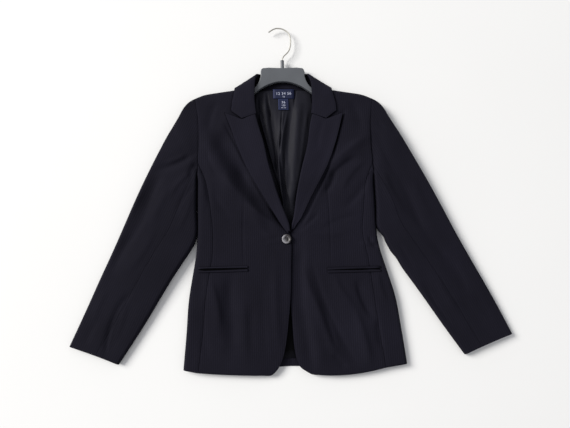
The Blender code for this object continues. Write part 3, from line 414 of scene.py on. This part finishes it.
def suiting(name, grain, painted_lightness=1.0, rib_show=1.0):
    """Worsted suiting, woven twill with a tonal rib, pressed: near black with a soft navy sheen.

    The sheen is that of the fibre ends. The third argument scales the whole colour, as painted
    light or painted shade for a piece that lies in more or less light. The rib's lines lie 4.4 mm
    apart, as fine as they can show. The twill's, 0.5 mm apart in the real cloth, are drawn 7 mm
    apart, so as to show.
    """
    cloth = bpy.context.scene.blazer_cloth
    made, tree, shader, place = new_material(name)
    turned = add_node(tree, "ShaderNodeMapping", Vector=(place, "Object"),
                      Rotation=(0, 0, math.radians(grain)))
    axes = add_node(tree, "ShaderNodeSeparateXYZ", Vector=(turned, "Vector"))
    # the rib: soft lines that waver a little and are broken into dashes
    waver = add_node(tree, "ShaderNodeTexNoise", Vector=(turned, "Vector"), Scale=blots(RIB_BEND),
                     Detail=2.0)
    shift = add_node(tree, "ShaderNodeMath", TIMES, _0=(waver, "Fac"),
                     _1=cloth.rib_spacing * RIB_WAVER)
    across = add_node(tree, "ShaderNodeMath", {"operation": "ADD"}, _0=(axes, "X"),
                      _1=(shift, "Value"))
    phase = add_node(tree, "ShaderNodeMath", TIMES, _0=(across, "Value"),
                     _1=2 * math.pi / cloth.rib_spacing)
    wave = add_node(tree, "ShaderNodeMath", {"operation": "SINE"}, _0=(phase, "Value"))
    rib = add_node(tree, "ShaderNodeMapRange", {"interpolation_type": "SMOOTHSTEP"},
                   Value=(wave, "Value"), From_Min=0.1, From_Max=0.95)
    dashes = add_node(tree, "ShaderNodeTexNoise", Vector=(turned, "Vector"), Scale=blots(RIB_DASH),
                      Detail=3.0, Roughness=0.7)
    broken = add_node(tree, "ShaderNodeMapRange", Value=(dashes, "Fac"), From_Min=0.35,
                      From_Max=0.62, To_Min=0.35 * rib_show, To_Max=rib_show)
    seen = add_node(tree, "ShaderNodeMath", TIMES, _0=(rib, "Result"), _1=(broken, "Result"))
    colour = add_node(tree, "ShaderNodeMix", BLEND, Factor=(seen, "Value"),
                      _6=plain(cloth.colour), _7=plain(cloth.rib_colour))
    # the cloth's slightly uneven dye, times the piece's painted light or painted shade
    dye = add_node(tree, "ShaderNodeTexNoise", Vector=(turned, "Vector"), Scale=blots(DYE_CLOUD),
                   Detail=4.0)
    tone = add_node(tree, "ShaderNodeMapRange", Value=(dye, "Fac"), **NOISE_SPAN,
                    To_Min=0.86 * painted_lightness, To_Max=1.14 * painted_lightness)
    toned = add_node(tree, "ShaderNodeMix", TINT, Factor=1.0, _6=(colour, 2),
                     _7=(tone, "Result"))
    # painted shade where the suiting lies in narrow gaps
    shade(tree, shader, (toned, 2), CLOTH_GAP, 0.10)
    twill_turn = add_node(tree, "ShaderNodeMapping", Vector=(place, "Object"),
                          Rotation=(0, 0, math.radians(grain + TWILL_LEAN)))
    twill = add_node(tree, "ShaderNodeTexWave", {"bands_direction": "X"},
                     Vector=(twill_turn, "Vector"), Scale=bands(TWILL_DRAWN), Distortion=2.5,
                     Detail=2.0)
    relief = add_node(tree, "ShaderNodeMath", {"operation": "MULTIPLY_ADD"}, _0=(twill, "Fac"),
                      _1=TWILL_RELIEF, _2=(seen, "Value"))
    bump = add_node(tree, "ShaderNodeBump", Strength=0.35, Distance=0.35 * MM,
                    Height=(relief, "Value"))
    set_inputs(shader, Normal=(bump, "Normal"), Roughness=0.88, Sheen_Weight=0.025,
               Sheen_Roughness=0.45, Sheen_Tint=plain(linear("#8F8CA6")))
    return made


def satin():
    """Acetate satin lining, woven and calendered: dark, with long soft lights along each fold.

    Its colour holds painted shade: it darkens under the closed fronts, where hardly any light
    reaches it.
    """
    trim = bpy.context.scene.blazer_trim
    made, tree, shader, place = new_material("acetate_satin_woven")
    stretched = add_node(tree, "ShaderNodeMapping", Vector=(place, "Object"),
                         Scale=[blots(size) for size in SATIN_FLOATS])
    floats = add_node(tree, "ShaderNodeTexNoise", Vector=(stretched, "Vector"), Scale=1.0,
                      Detail=2.0)
    tone = add_node(tree, "ShaderNodeMapRange", Value=(floats, "Fac"), **NOISE_SPAN,
                    To_Min=0.85, To_Max=1.15)
    # painted shade: the colour is darkened along the lining's length, as the ramp gives
    axes = add_node(tree, "ShaderNodeSeparateXYZ", Vector=(place, "Object"))
    along = add_node(tree, "ShaderNodeMapRange", Value=(axes, "Y"), From_Min=LINING_SPAN[0],
                     From_Max=LINING_SPAN[1])
    depth = add_node(tree, "ShaderNodeValToRGB", Fac=(along, "Result"))
    ramp = depth.color_ramp
    ramp.elements.remove(ramp.elements[1])
    for share, light in LINING_PAINTED_LIGHT:
        ramp.elements.new(share).color = (light, light, light, 1.0)
    ramp.elements.remove(ramp.elements[0])
    shaded = add_node(tree, "ShaderNodeMath", TIMES, _0=(tone, "Result"), _1=(depth, "Color"))
    colour = add_node(tree, "ShaderNodeMix", TINT, Factor=1.0, _6=plain(trim.lining),
                      _7=(shaded, "Value"))
    # painted shade where the lining lies in narrow gaps, as beside the lapels
    shade(tree, shader, (colour, 2), LINING_GAP, 0.05)
    bump = add_node(tree, "ShaderNodeBump", Strength=0.15, Distance=0.1 * MM,
                    Height=(floats, "Fac"))
    set_inputs(shader, Normal=(bump, "Normal"), Roughness=0.50)
    return made


def damask(name, colour, border):
    """Damask label, woven: fine ribs across and a slightly paler woven edge."""
    made, tree, shader, place = new_material(name)
    ribs = add_node(tree, "ShaderNodeTexWave", {"bands_direction": "Y"},
                    Vector=(place, "Object"), Scale=bands(LABEL_RIB), Distortion=0.6, Detail=1.0)
    box = add_node(tree, "ShaderNodeSeparateXYZ", Vector=(place, "Generated"))
    edges = []
    for axis in ("X", "Y"):
        centred = add_node(tree, "ShaderNodeMath", {"operation": "SUBTRACT"}, _0=(box, axis),
                           _1=0.5)
        edges.append(add_node(tree, "ShaderNodeMath", {"operation": "ABSOLUTE"},
                              _0=(centred, "Value")))
    reach = add_node(tree, "ShaderNodeMath", {"operation": "MAXIMUM"}, _0=(edges[0], "Value"),
                     _1=(edges[1], "Value"))
    rim = add_node(tree, "ShaderNodeMapRange", Value=(reach, "Value"), From_Min=0.43,
                   From_Max=0.46)
    base = add_node(tree, "ShaderNodeMix", BLEND, Factor=(rim, "Result"), _6=plain(colour),
                    _7=plain(border))
    woven = add_node(tree, "ShaderNodeMapRange", Value=(ribs, "Fac"), To_Min=0.75, To_Max=1.2)
    toned = add_node(tree, "ShaderNodeMix", TINT, Factor=1.0, _6=(base, 2), _7=(woven, "Result"))
    bump = add_node(tree, "ShaderNodeBump", Strength=0.3, Distance=0.1 * MM,
                    Height=(ribs, "Fac"))
    set_inputs(shader, Base_Color=(toned, 2), Normal=(bump, "Normal"), Roughness=0.65,
               Specular_IOR_Level=0.25)
    return made


def marbled_horn():
    """Polyester horn button, cast and polished: smoky streaks, a soft gloss and a painted
    highlight.
    """
    trim = bpy.context.scene.blazer_trim
    made, tree, shader, place = new_material("polyester_horn_polished")
    swirl = add_node(tree, "ShaderNodeTexNoise", Vector=(place, "Generated"),
                     Scale=BUTTON_WIDTH / HORN_STREAK, Detail=4.0, Distortion=1.6)
    box = add_node(tree, "ShaderNodeSeparateXYZ", Vector=(place, "Generated"))
    # painted highlight: paler toward -X, the lamp's side, with the real streaks over it
    painted_highlight_slope = add_node(tree, "ShaderNodeMath", {"operation": "MULTIPLY_ADD"}, _0=(box, "X"),
                     _1=0.55, _2=(swirl, "Fac"))
    share = add_node(tree, "ShaderNodeMapRange", {"interpolation_type": "SMOOTHSTEP"},
                     Value=(painted_highlight_slope, "Value"), From_Min=0.50, From_Max=0.86)
    colour = add_node(tree, "ShaderNodeMix", BLEND, Factor=(share, "Result"),
                      _6=plain(trim.button_streak_and_highlight), _7=plain(trim.button_dark))
    set_inputs(shader, Base_Color=(colour, 2), Roughness=0.42)
    return made


def moulded_plastic():
    """Polypropylene, injection moulded: mid grey with a fine spark-eroded grain."""
    trim = bpy.context.scene.blazer_trim
    made, tree, shader, place = new_material("polypropylene_moulded")
    grain = add_node(tree, "ShaderNodeTexNoise", Vector=(place, "Object"),
                     Scale=blots(PLASTIC_GRAIN), Detail=2.0)
    flow = add_node(tree, "ShaderNodeTexNoise", Vector=(place, "Object"), Scale=blots(PLASTIC_FLOW),
                    Detail=3.0)
    tone = add_node(tree, "ShaderNodeMapRange", Value=(flow, "Fac"), **NOISE_SPAN,
                    To_Min=0.9, To_Max=1.08)
    colour = add_node(tree, "ShaderNodeMix", TINT, Factor=1.0, _6=plain(trim.plastic),
                      _7=(tone, "Result"))
    bump = add_node(tree, "ShaderNodeBump", Strength=0.25, Distance=0.1 * MM,
                    Height=(grain, "Fac"))
    set_inputs(shader, Base_Color=(colour, 2), Normal=(bump, "Normal"), Roughness=0.42,
               Specular_IOR_Level=0.5)
    return made


def drawn_wire():
    """Nickel-plated steel wire, drawn: pale and satin, uneven by a little along it."""
    made, tree, shader, place = new_material("steel_wire_nickel_plated")
    uneven = add_node(tree, "ShaderNodeTexNoise", Vector=(place, "Object"), Scale=blots(WIRE_SPOT),
                      Detail=2.0)
    rough = add_node(tree, "ShaderNodeMapRange", Value=(uneven, "Fac"), **NOISE_SPAN,
                     To_Min=0.55, To_Max=0.68)
    set_inputs(shader, Base_Color=plain(linear("#B6B4AE")), Roughness=(rough, "Result"),
               Metallic=1.0)
    return made


def label_thread():
    """Rayon thread of the labels' numbers, woven: pale, with a silky gleam."""
    made, tree, shader, place = new_material("rayon_thread_woven")
    floats = add_node(tree, "ShaderNodeTexWave", {"bands_direction": "Y"},
                      Vector=(place, "Object"), Scale=bands(LABEL_RIB))
    tone = add_node(tree, "ShaderNodeMix", BLEND, Factor=(floats, "Fac"),
                    _6=plain(linear("#9FA5BE")), _7=plain(linear("#C9CCDA")))
    set_inputs(shader, Base_Color=(tone, 2), Roughness=0.45)
    return made


def sewing_thread():
    """Polyester thread, spun and twisted: dull, dark."""
    made, tree, shader, place = new_material("polyester_thread_twisted")
    twist = add_node(tree, "ShaderNodeTexWave", {"bands_direction": "DIAGONAL"},
                     Vector=(place, "Object"), Scale=bands(THREAD_TWIST))
    tone = add_node(tree, "ShaderNodeMix", BLEND, Factor=(twist, "Fac"),
                    _6=plain(linear("#17161B")), _7=plain(linear("#2C2A33")))
    set_inputs(shader, Base_Color=(tone, 2), Roughness=0.7)
    return made


def pocketing_painted_shade():
    """Silesia pocketing, woven and dyed black: dull, deep in shadow; its near-black is painted
    shade too.
    """
    made, tree, shader, place = new_material("silesia_woven_painted_shade")
    weave = add_node(tree, "ShaderNodeTexNoise", Vector=(place, "Object"),
                     Scale=blots(POCKET_WEAVE))
    tone = add_node(tree, "ShaderNodeMix", BLEND, Factor=(weave, "Fac"),
                    _6=plain(linear("#020203")), _7=plain(linear("#060608")))
    set_inputs(shader, Base_Color=(tone, 2), Roughness=0.95, Specular_IOR_Level=0.02)
    return made


def floor_board(studio):
    """Painted board, rolled and matt: pale and even, with hardly any grain."""
    made, tree, shader, place = new_material("painted_board_matt")
    cloud = add_node(tree, "ShaderNodeTexNoise", Vector=(place, "Object"), Scale=blots(BOARD_CLOUD),
                     Detail=3.0)
    tone = add_node(tree, "ShaderNodeMapRange", Value=(cloud, "Fac"), **NOISE_SPAN,
                    To_Min=0.98, To_Max=1.0)
    colour = add_node(tree, "ShaderNodeMix", TINT, Factor=1.0, _6=plain(studio.floor),
                      _7=(tone, "Result"))
    set_inputs(shader, Base_Color=(colour, 2), Roughness=0.8, Specular_IOR_Level=0.2)
    return made


# ---- Meshes and objects ----
def place_object(name, data):
    made = bpy.data.objects.new(name, data)
    bpy.context.scene.collection.objects.link(made)
    return made


def mesh_of(shape, name):
    """The bmesh as a mesh of that name."""
    mesh = bpy.data.meshes.new(name)
    shape.to_mesh(mesh)
    shape.free()
    return mesh


def evaluated(piece):
    bpy.context.view_layer.update()
    return piece.evaluated_get(bpy.context.evaluated_depsgraph_get())


def settle(piece):
    """Makes the piece's own mesh what its modifiers make of it."""
    piece.data = bpy.data.meshes.new_from_object(evaluated(piece))
    piece.modifiers.clear()


def points_of(mesh):
    co = np.zeros(len(mesh.vertices) * 3)
    mesh.vertices.foreach_get("co", co)
    return co.reshape(-1, 3)


def move_points(mesh, points):
    mesh.vertices.foreach_set("co", points.ravel())
    mesh.update()


def give_look(piece, look):
    piece.data.materials.clear()
    piece.data.materials.append(look)


# ---- Shaping the cloth ----
def smooth(values, low, high):
    """0 at low, 1 at high, smooth between, for an array."""
    t = np.clip((values - low) / (high - low), 0, 1)
    return t * t * (3 - 2 * t)


def crease_lift(creases, x, y):
    """Height in millimetres that the creases add at arrays of places."""
    total = np.zeros_like(x)
    for crease in creases:
        along = np.array([crease.x1 - crease.x0, crease.y1 - crease.y0], float)
        length = math.hypot(*along)
        along /= length
        share = ((x - crease.x0) * along[0] + (y - crease.y0) * along[1]) / length
        side = (x - crease.x0) * along[1] - (y - crease.y0) * along[0]
        side = side - crease.bow * 4 * share * (1 - share)
        width = crease.width * (1 + crease.lean * np.sign(side))
        ends = smooth(share, *CREASE_RISE) * smooth(share, *CREASE_FALL)
        total += crease.lift * ends * np.exp(-((side / width) ** 2))
    return total


def waviness(x, y):
    """Long waves with finer ones over them, at arrays of places."""
    return np.array([
        noise.noise(Vector((a, b, RUMPLE_SLICE)) / RUMPLE_LENGTH) + FINE_SHARE * noise.noise(
            Vector((a + FINE_SHIFT, b, FINE_SLICE)) * FINE_RUMPLE / RUMPLE_LENGTH)
        for a, b in zip(x, y)])


def quads_from(node):
    """The node's cloth as welded four-sided faces, with its cut edges marked sharp."""
    shape = bmesh.new()
    shape.from_mesh(NODES[node].data)
    bmesh.ops.remove_doubles(shape, verts=shape.verts, dist=WELD)
    bmesh.ops.join_triangles(shape, faces=shape.faces, angle_face_threshold=QUAD_FLAT,
                             angle_shape_threshold=QUAD_SHAPE)
    sharp = shape.edges.layers.float.new("crease_edge")
    for edge in shape.edges:
        if len(edge.link_faces) == 2 and edge.calc_face_angle(0) > RIM_ANGLE:
            edge[sharp] = 1.0
    return shape


def finer(node, name, rounds=TRIM_ROUNDS):
    """A new piece on the node's own form, its faces divided so many rounds.

    Dividing draws round forms inward, so the cage is first pushed out by as much.
    """
    mesh = mesh_of(quads_from(node), name)
    piece = place_object(name, mesh)
    divide = piece.modifiers.new("divide", "SUBSURF")
    divide.levels = 1
    divide.render_levels = rounds
    goal = points_of(mesh)
    cage = goal.copy()
    for _ in range(CAGE_STEPS):
        cage += goal - points_of(evaluated(piece).to_mesh())[:len(goal)]
        move_points(mesh, cage)
    divide.levels = rounds
    settle(piece)
    piece.data.name = name
    bpy.data.meshes.remove(mesh)
    piece.data.shade_smooth()
    return piece


def rim_distance(mesh, points):
    """Distance in millimetres from each point to the nearest cut edge."""
    shape = bmesh.new()
    shape.from_mesh(mesh)
    rim = {v.index for e in shape.edges if len(e.link_faces) == 2
           and e.calc_face_angle(0) > RIM_ANGLE for v in e.verts}
    shape.free()
    if not rim:
        return np.full(len(points), FAR_FROM_RIM)
    tree = KDTree(len(rim))
    for index in rim:
        tree.insert(points[index], index)
    tree.balance()
    return np.array([tree.find(p)[2] for p in points]) / MM


def lay_creases(piece, creases, rumple, depth, sink):
    """Presses the edges thinner and moves the upper cloth by its creases and slight waviness."""
    mesh = piece.data
    points = points_of(mesh)
    normals = np.zeros(len(points) * 3)
    mesh.vertices.foreach_get("normal", normals)
    facing = normals.reshape(-1, 3)[:, 2]
    x, y, z = (points / MM).T
    upper = smooth(z, FLOOR_CLOTH, UPPER_CLOTH)
    lift = depth * crease_lift(creases, x, y) * upper
    if rumple:
        lift += rumple * waviness(x, y) * upper
    if sink:
        near = np.exp(-(rim_distance(mesh, points) / EDGE_REACH) ** 2)
        lift -= sink * near * smooth(facing, *PRESSED_FACE) * upper
    points[:, 2] += lift * MM
    move_points(mesh, points)


def draw_in(piece, pulls, slides):
    """Draws the cloth sideways near a few places or lines, most at each of them itself."""
    points = points_of(piece.data)
    x, y = points[:, 0] / MM, points[:, 1] / MM
    moved = np.zeros((len(points), 2))
    for pull in pulls:
        near = np.exp(-((x - pull.x) ** 2 + (y - pull.y) ** 2) / pull.reach ** 2)
        moved += near[:, None] * (pull.right, pull.up)
    for slide in slides:
        moved += crease_lift([slide.line], x, y)[:, None] * (slide.right, slide.up)
    points[:, :2] += moved * MM
    move_points(piece.data, points)


def soften(piece, width, angle):
    """Rounds what is sharp: a cut edge's fold, or the edge of a moulding."""
    rounding = piece.modifiers.new("soft_edge", "BEVEL")
    rounding.width = width * MM
    rounding.segments = ROUNDING_STEPS
    rounding.limit_method = "ANGLE"
    rounding.angle_limit = angle


def dress(piece, node, look):
    """Gives a piece its finish and its body, and hides the solid that it stands for."""
    give_look(piece, look)
    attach(piece, "root")
    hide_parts(node)


def cloth_piece(node, look, creases, rumple=RUMPLE, rounds=None, depth=BODY_DEPTH,
                sink=EDGE_SINK):
    """Makes one piece of the suiting from its node, creased and laid."""
    rounds = rounds or bpy.context.scene.blazer_cloth.rounds
    piece = finer(node, node + "_cloth", rounds)
    lay_creases(piece, creases, rumple, depth, sink)
    draw_in(piece, PULLS.get(node, []), SLIDES.get(node, []))
    soften(piece, FOLD_ROUNDING, RIM_ANGLE)
    dress(piece, node, look)


# ---- Operators ----
class BLAZER_OT_body(bpy.types.Operator):
    """Fronts, side panels and backs of the body"""

    bl_idname = "blazer.body"
    bl_label = "Body panels"

    def execute(self, context):
        look = suiting("worsted_twill_body", 0)
        for side in SIDES:
            cloth_piece("back_" + side, look, [], rumple=0.0, rounds=BACK_ROUNDS)
            cloth_piece("side_" + side, look, FRONT_CREASES)
            cloth_piece("front_" + side, look, FRONT_CREASES + DARTS)
        return {"FINISHED"}


class BLAZER_OT_sleeves(bpy.types.Operator):
    """Two-piece sleeves with their drag lines and elbow folds"""

    bl_idname = "blazer.sleeves"
    bl_label = "Sleeves"

    def execute(self, context):
        for side, turn in zip(SIDES, (SLEEVE_GRAIN, -SLEEVE_GRAIN)):
            look = suiting("worsted_twill_sleeve_" + side, turn, SLEEVE_PAINTED_SHADE)
            for half in ("sleeve_top_", "sleeve_under_"):
                cloth_piece(half + side, look, SLEEVE_CREASES, depth=SLEEVE_DEPTH,
                            sink=SEAM_SINK)
        return {"FINISHED"}


class BLAZER_OT_collar(bpy.types.Operator):
    """Collar and peaked lapels, pressed and rolled"""

    bl_idname = "blazer.collar"
    bl_label = "Collar and lapels"

    def execute(self, context):
        for side, turn in zip(SIDES, (-LAPEL_GRAIN, LAPEL_GRAIN)):
            look = suiting("worsted_twill_lapel_" + side, turn, LAPEL_PAINTED_LIGHT, LAPEL_RIB)
            cloth_piece("lapel_" + side, look, LAPEL_CREASES,
                        rumple=LAPEL_RUMPLE, depth=LAPEL_DEPTH)
        look = suiting("worsted_twill_collar", 0, LAPEL_PAINTED_LIGHT, LAPEL_RIB)
        cloth_piece("collar", look, LAPEL_CREASES,
                    rumple=COLLAR_RUMPLE, depth=LAPEL_DEPTH)
        return {"FINISHED"}


class BLAZER_OT_pockets(bpy.types.Operator):
    """Rolled lips of the jetted pockets, with the dark mouth between them"""

    bl_idname = "blazer.pockets"
    bl_label = "Pockets"

    def execute(self, context):
        look = suiting("worsted_twill_welt", WELT_GRAIN)
        # the mouth's strip, near black as painted shade
        dark = pocketing_painted_shade()
        for side in SIDES:
            lips = []
            for lip in ("upper", "lower"):
                node = "welt_{}_{}".format(lip, side)
                piece = finer(node, node + "_cloth")
                roll_lip(piece, side, lip)
                dress(piece, node, look)
                lips.append(piece)
            mouth = pocket_mouth(side, lips)
            give_look(mouth, dark)
            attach(mouth, "root")
        return {"FINISHED"}


def gape(side, x):
    """Half the pocket's opening in millimetres, from its inner to its outer end."""
    inner, outer = GAPE[side]["at"]
    share = np.clip((np.abs(x) - inner) / (outer - inner), 0, 1)
    return np.interp(share, GAPE[side]["share"], GAPE[side]["half"])


def lip_line(points):
    """The middle of a pocket lip: its y and its height as functions of x, in millimetres."""
    x, y, z = (points / MM).T
    return np.polyfit(x, y, 2), np.polyfit(x, z, 4)


def roll_lip(piece, side, lip):
    """Draws a lip back from the mouth and rolls its inner edge under."""
    points = points_of(piece.data)
    middle = lip_line(points)[0]
    x = points[:, 0] / MM
    across = points[:, 1] / MM - np.polyval(middle, x)
    share = across / np.abs(across).max()
    inner = -1.0 if lip == "upper" else 1.0
    points[:, 1] -= inner * smooth(share * inner, *LIP_DRAWN) * gape(side, x) * MM
    points[:, 2] -= smooth(share * inner, *LIP_UNDER) * LIP_ROLL * MM
    points[:, 2] += LIP_ROLL * MM * np.clip(1 - share ** 2, 0, 1)
    move_points(piece.data, points)


def pocket_mouth(side, lips):
    """The strip of pocketing that lies in shadow between the lips: its near-black is painted shade.
    """
    upper, lower = (lip_line(points_of(lip.data)) for lip in lips)
    ends = points_of(lips[0].data)[:, 0] / MM
    shape = bmesh.new()
    rows = []
    for x in np.linspace(ends.min() + MOUTH_MARGIN, ends.max() - MOUTH_MARGIN, MOUTH_STEPS):
        y = (np.polyval(upper[0], x) + np.polyval(lower[0], x)) / 2
        z = (np.polyval(upper[1], x) + np.polyval(lower[1], x)) / 2 - MOUTH_DEPTH
        rows.append([shape.verts.new((x * MM, (y + step) * MM, z * MM))
                     for step in (-MOUTH_HALF, 0, MOUTH_HALF)])
    for a, b in zip(rows, rows[1:]):
        for i in (0, 1):
            shape.faces.new((a[i], b[i], b[i + 1], a[i + 1]))
    name = "pocket_mouth_" + side
    return place_object(name, mesh_of(shape, name))


class BLAZER_OT_lining(bpy.types.Operator):
    """Rippled satin back lining and its two woven labels, with plain numbers"""

    bl_idname = "blazer.lining"
    bl_label = "Lining and labels"

    def execute(self, context):
        trim = context.scene.blazer_trim
        lining = finer("lining_back", "lining_back_satin")
        lay_creases(lining, LINING_CREASES, LINING_RUMPLE, LINING_DEPTH, sink=0.0)
        dress(lining, "lining_back", satin())
        thread = label_thread()
        for node, border in LABEL_BORDERS.items():
            label = finer(node, node + "_damask")
            lay_creases(label, LINING_CREASES, 0.0, LINING_DEPTH, sink=0.0)
            dress(label, node, damask("damask_" + node, trim.label, linear(border)))
            for row in LABEL_NUMBERS[node]:
                woven_number(label, row, thread)
        return {"FINISHED"}


def woven_number(label, row, thread):
    """A plain number in pale thread that lies on the label."""
    curve = bpy.data.curves.new("number", "FONT")
    curve.body = row.number
    curve.size = row.size * MM
    curve.align_x = "CENTER"
    curve.align_y = "CENTER"
    curve.space_character = NUMBER_SPACING
    text = place_object("number", curve)
    text.location = (row.x * MM, row.y * MM, ABOVE_LABEL * MM)
    mesh = bpy.data.meshes.new_from_object(evaluated(text))
    mesh.transform(text.matrix_world)
    bpy.data.objects.remove(text, do_unlink=True)
    number = place_object("woven_number_" + row.number.replace(" ", "_"), mesh)
    seat = number.modifiers.new("seat", "SHRINKWRAP")
    seat.target = label
    seat.wrap_method = "PROJECT"
    seat.use_project_z = True
    seat.use_negative_direction = True
    seat.use_positive_direction = False
    seat.offset = NUMBER_THICKNESS * MM
    settle(number)
    give_look(number, thread)
    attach(number, "root")


class BLAZER_OT_button(bpy.types.Operator):
    """The dished four-hole button and its thread"""

    bl_idname = "blazer.button"
    bl_label = "Button"

    def execute(self, context):
        low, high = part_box("button")
        foot = Vector(((low.x + high.x) / 2, (low.y + high.y) / 2, low.z))
        dress(turned_button(foot), "button", marbled_horn())
        thread = button_thread(foot)
        give_look(thread, sewing_thread())
        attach(thread, "root")
        return {"FINISHED"}


def turned_button(foot):
    """A lathe-turned disc with four drilled holes."""
    shape = bmesh.new()
    ring = [shape.verts.new((radius * MM, 0, height * MM)) for radius, height in BUTTON_RINGS]
    edges = [shape.edges.new(pair) for pair in zip(ring, ring[1:])]
    bmesh.ops.spin(shape, geom=ring + edges, axis=(0, 0, 1), cent=(0, 0, 0),
                   angle=2 * math.pi, steps=BUTTON_SIDES, use_merge=True)
    bmesh.ops.remove_doubles(shape, verts=shape.verts, dist=WELD / 10)
    bmesh.ops.recalc_face_normals(shape, faces=shape.faces)
    button = place_object("button_horn", mesh_of(shape, "button_horn"))
    button.location = foot
    drills = [drill_at(foot + Vector((right, up, 0)) * BUTTON_SPREAD * MM)
              for right in (-1, 1) for up in (-1, 1)]
    for drill in drills:
        cut = button.modifiers.new("drill", "BOOLEAN")
        cut.solver = "EXACT"
        cut.object = drill
    settle(button)
    for drill in drills:
        bpy.data.objects.remove(drill, do_unlink=True)
    button.data.shade_smooth()
    soften(button, BUTTON_ROUNDING, BUTTON_ANGLE)
    return button


def drill_at(place):
    """A rod that cuts one hole of the button."""
    rod = bmesh.new()
    bmesh.ops.create_cone(rod, cap_ends=True, segments=DRILL_SIDES, radius1=BUTTON_HOLE * MM,
                          radius2=BUTTON_HOLE * MM, depth=DRILL_LENGTH * MM)
    drill = place_object("drill", mesh_of(rod, "drill"))
    drill.location = place
    return drill


def button_thread(foot):
    """Two flat bars of thread, each of several strands, through the four holes."""
    curve = bpy.data.curves.new("button_thread", "CURVE")
    curve.dimensions = "3D"
    curve.bevel_depth = THREAD_RADIUS * MM
    curve.bevel_resolution = THREAD_FINENESS
    curve.use_fill_caps = True
    for up in (-BUTTON_SPREAD, BUTTON_SPREAD):
        for strand in (-1, 0, 1):
            line = curve.splines.new("BEZIER")
            line.bezier_points.add(2)
            stops = [(-BUTTON_SPREAD, THREAD_FOOT), (0, THREAD_TOP + STRAND_STEP * strand),
                     (BUTTON_SPREAD, THREAD_FOOT)]
            for point, (right, height) in zip(line.bezier_points, stops):
                point.co = foot + Vector((right, up + strand * STRAND_GAP, height)) * MM
                point.handle_left_type = "AUTO"
                point.handle_right_type = "AUTO"
    return place_object("button_thread", curve)


class BLAZER_OT_hanger(bpy.types.Operator):
    """Moulded hanger and its wire hook"""

    bl_idname = "blazer.hanger"
    bl_label = "Hanger"

    def execute(self, context):
        give_look(NODES["hanger_body"], moulded_plastic())
        give_look(NODES["hanger_hook"], drawn_wire())
        return {"FINISHED"}


class BLAZER_OT_studio(bpy.types.Operator):
    """Pale floor, soft light and the camera"""

    bl_idname = "blazer.studio"
    bl_label = "Studio"

    def execute(self, context):
        studio = context.scene.blazer_studio
        build_floor(studio)
        build_lights(studio)
        build_camera()
        return {"FINISHED"}


def build_floor(studio):
    half = studio.floor_size / 2
    mesh = bpy.data.meshes.new("floor")
    mesh.from_pydata([(-half, -half, 0), (half, -half, 0), (half, half, 0), (-half, half, 0)],
                     [], [(0, 1, 2, 3)])
    floor = place_object("floor", mesh)
    floor.location.z = -FLOOR_DROP * MM
    give_look(floor, floor_board(studio))


def build_lights(studio):
    data = bpy.data.lights.new("window", "AREA")
    data.energy = studio.light
    data.size = LAMP_SIZE
    data.color = linear("#FFFDF8")
    light = place_object("window", data)
    light.location = LAMP_PLACE
    light.rotation_euler = (-Vector(LAMP_PLACE)).to_track_quat("-Z", "Y").to_euler()
    world = bpy.data.worlds.new("studio_air")
    world.use_nodes = True
    background = world.node_tree.nodes["Background"]
    background.inputs["Color"].default_value = plain(linear("#F6F7FB"))
    background.inputs["Strength"].default_value = studio.fill
    bpy.context.scene.world = world
    bpy.context.scene.view_settings.view_transform = "Standard"


def build_camera():
    data = bpy.data.cameras.new("camera")
    data.lens = CAMERA_LENS
    data.sensor_width = CAMERA_SENSOR
    camera = place_object("camera", data)
    camera.location = [c * MM for c in CAMERA_PLACE]
    camera.rotation_euler = [math.radians(a) for a in CAMERA_TURN]
    bpy.context.scene.camera = camera


# ---- Sidebar and registration ----
GROUPS = {"blazer_cloth": BlazerCloth, "blazer_trim": BlazerTrim, "blazer_studio": BlazerStudio}
OPERATORS = [BLAZER_OT_studio, BLAZER_OT_body, BLAZER_OT_sleeves, BLAZER_OT_collar,
             BLAZER_OT_pockets, BLAZER_OT_lining, BLAZER_OT_button, BLAZER_OT_hanger]


class BLAZER_PT_sidebar(bpy.types.Panel):
    """Sizes, colours and the steps that build the blazer"""

    bl_idname = "BLAZER_PT_sidebar"
    bl_label = "Blazer"
    bl_space_type = "VIEW_3D"
    bl_region_type = "UI"
    bl_category = "Blazer"

    def draw(self, context):
        for name in GROUPS:
            group = getattr(context.scene, name)
            box = self.layout.box()
            for key in group.bl_rna.properties.keys():
                if key not in ("rna_type", "name"):
                    box.prop(group, key)
        for operator in OPERATORS:
            self.layout.operator(operator.bl_idname)


CLASSES = [*GROUPS.values(), *OPERATORS, BLAZER_PT_sidebar]


def register():
    for made in CLASSES:
        bpy.utils.register_class(made)
    for name, group in GROUPS.items():
        setattr(bpy.types.Scene, name, bpy.props.PointerProperty(type=group))


def unregister():
    for name in GROUPS:
        delattr(bpy.types.Scene, name)
    for made in reversed(CLASSES):
        bpy.utils.unregister_class(made)


def main():
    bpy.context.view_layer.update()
    register()
    for operator in OPERATORS:
        area, name = operator.bl_idname.split(".")
        getattr(getattr(bpy.ops, area), name)()


if __name__ == "__main__":
    main()
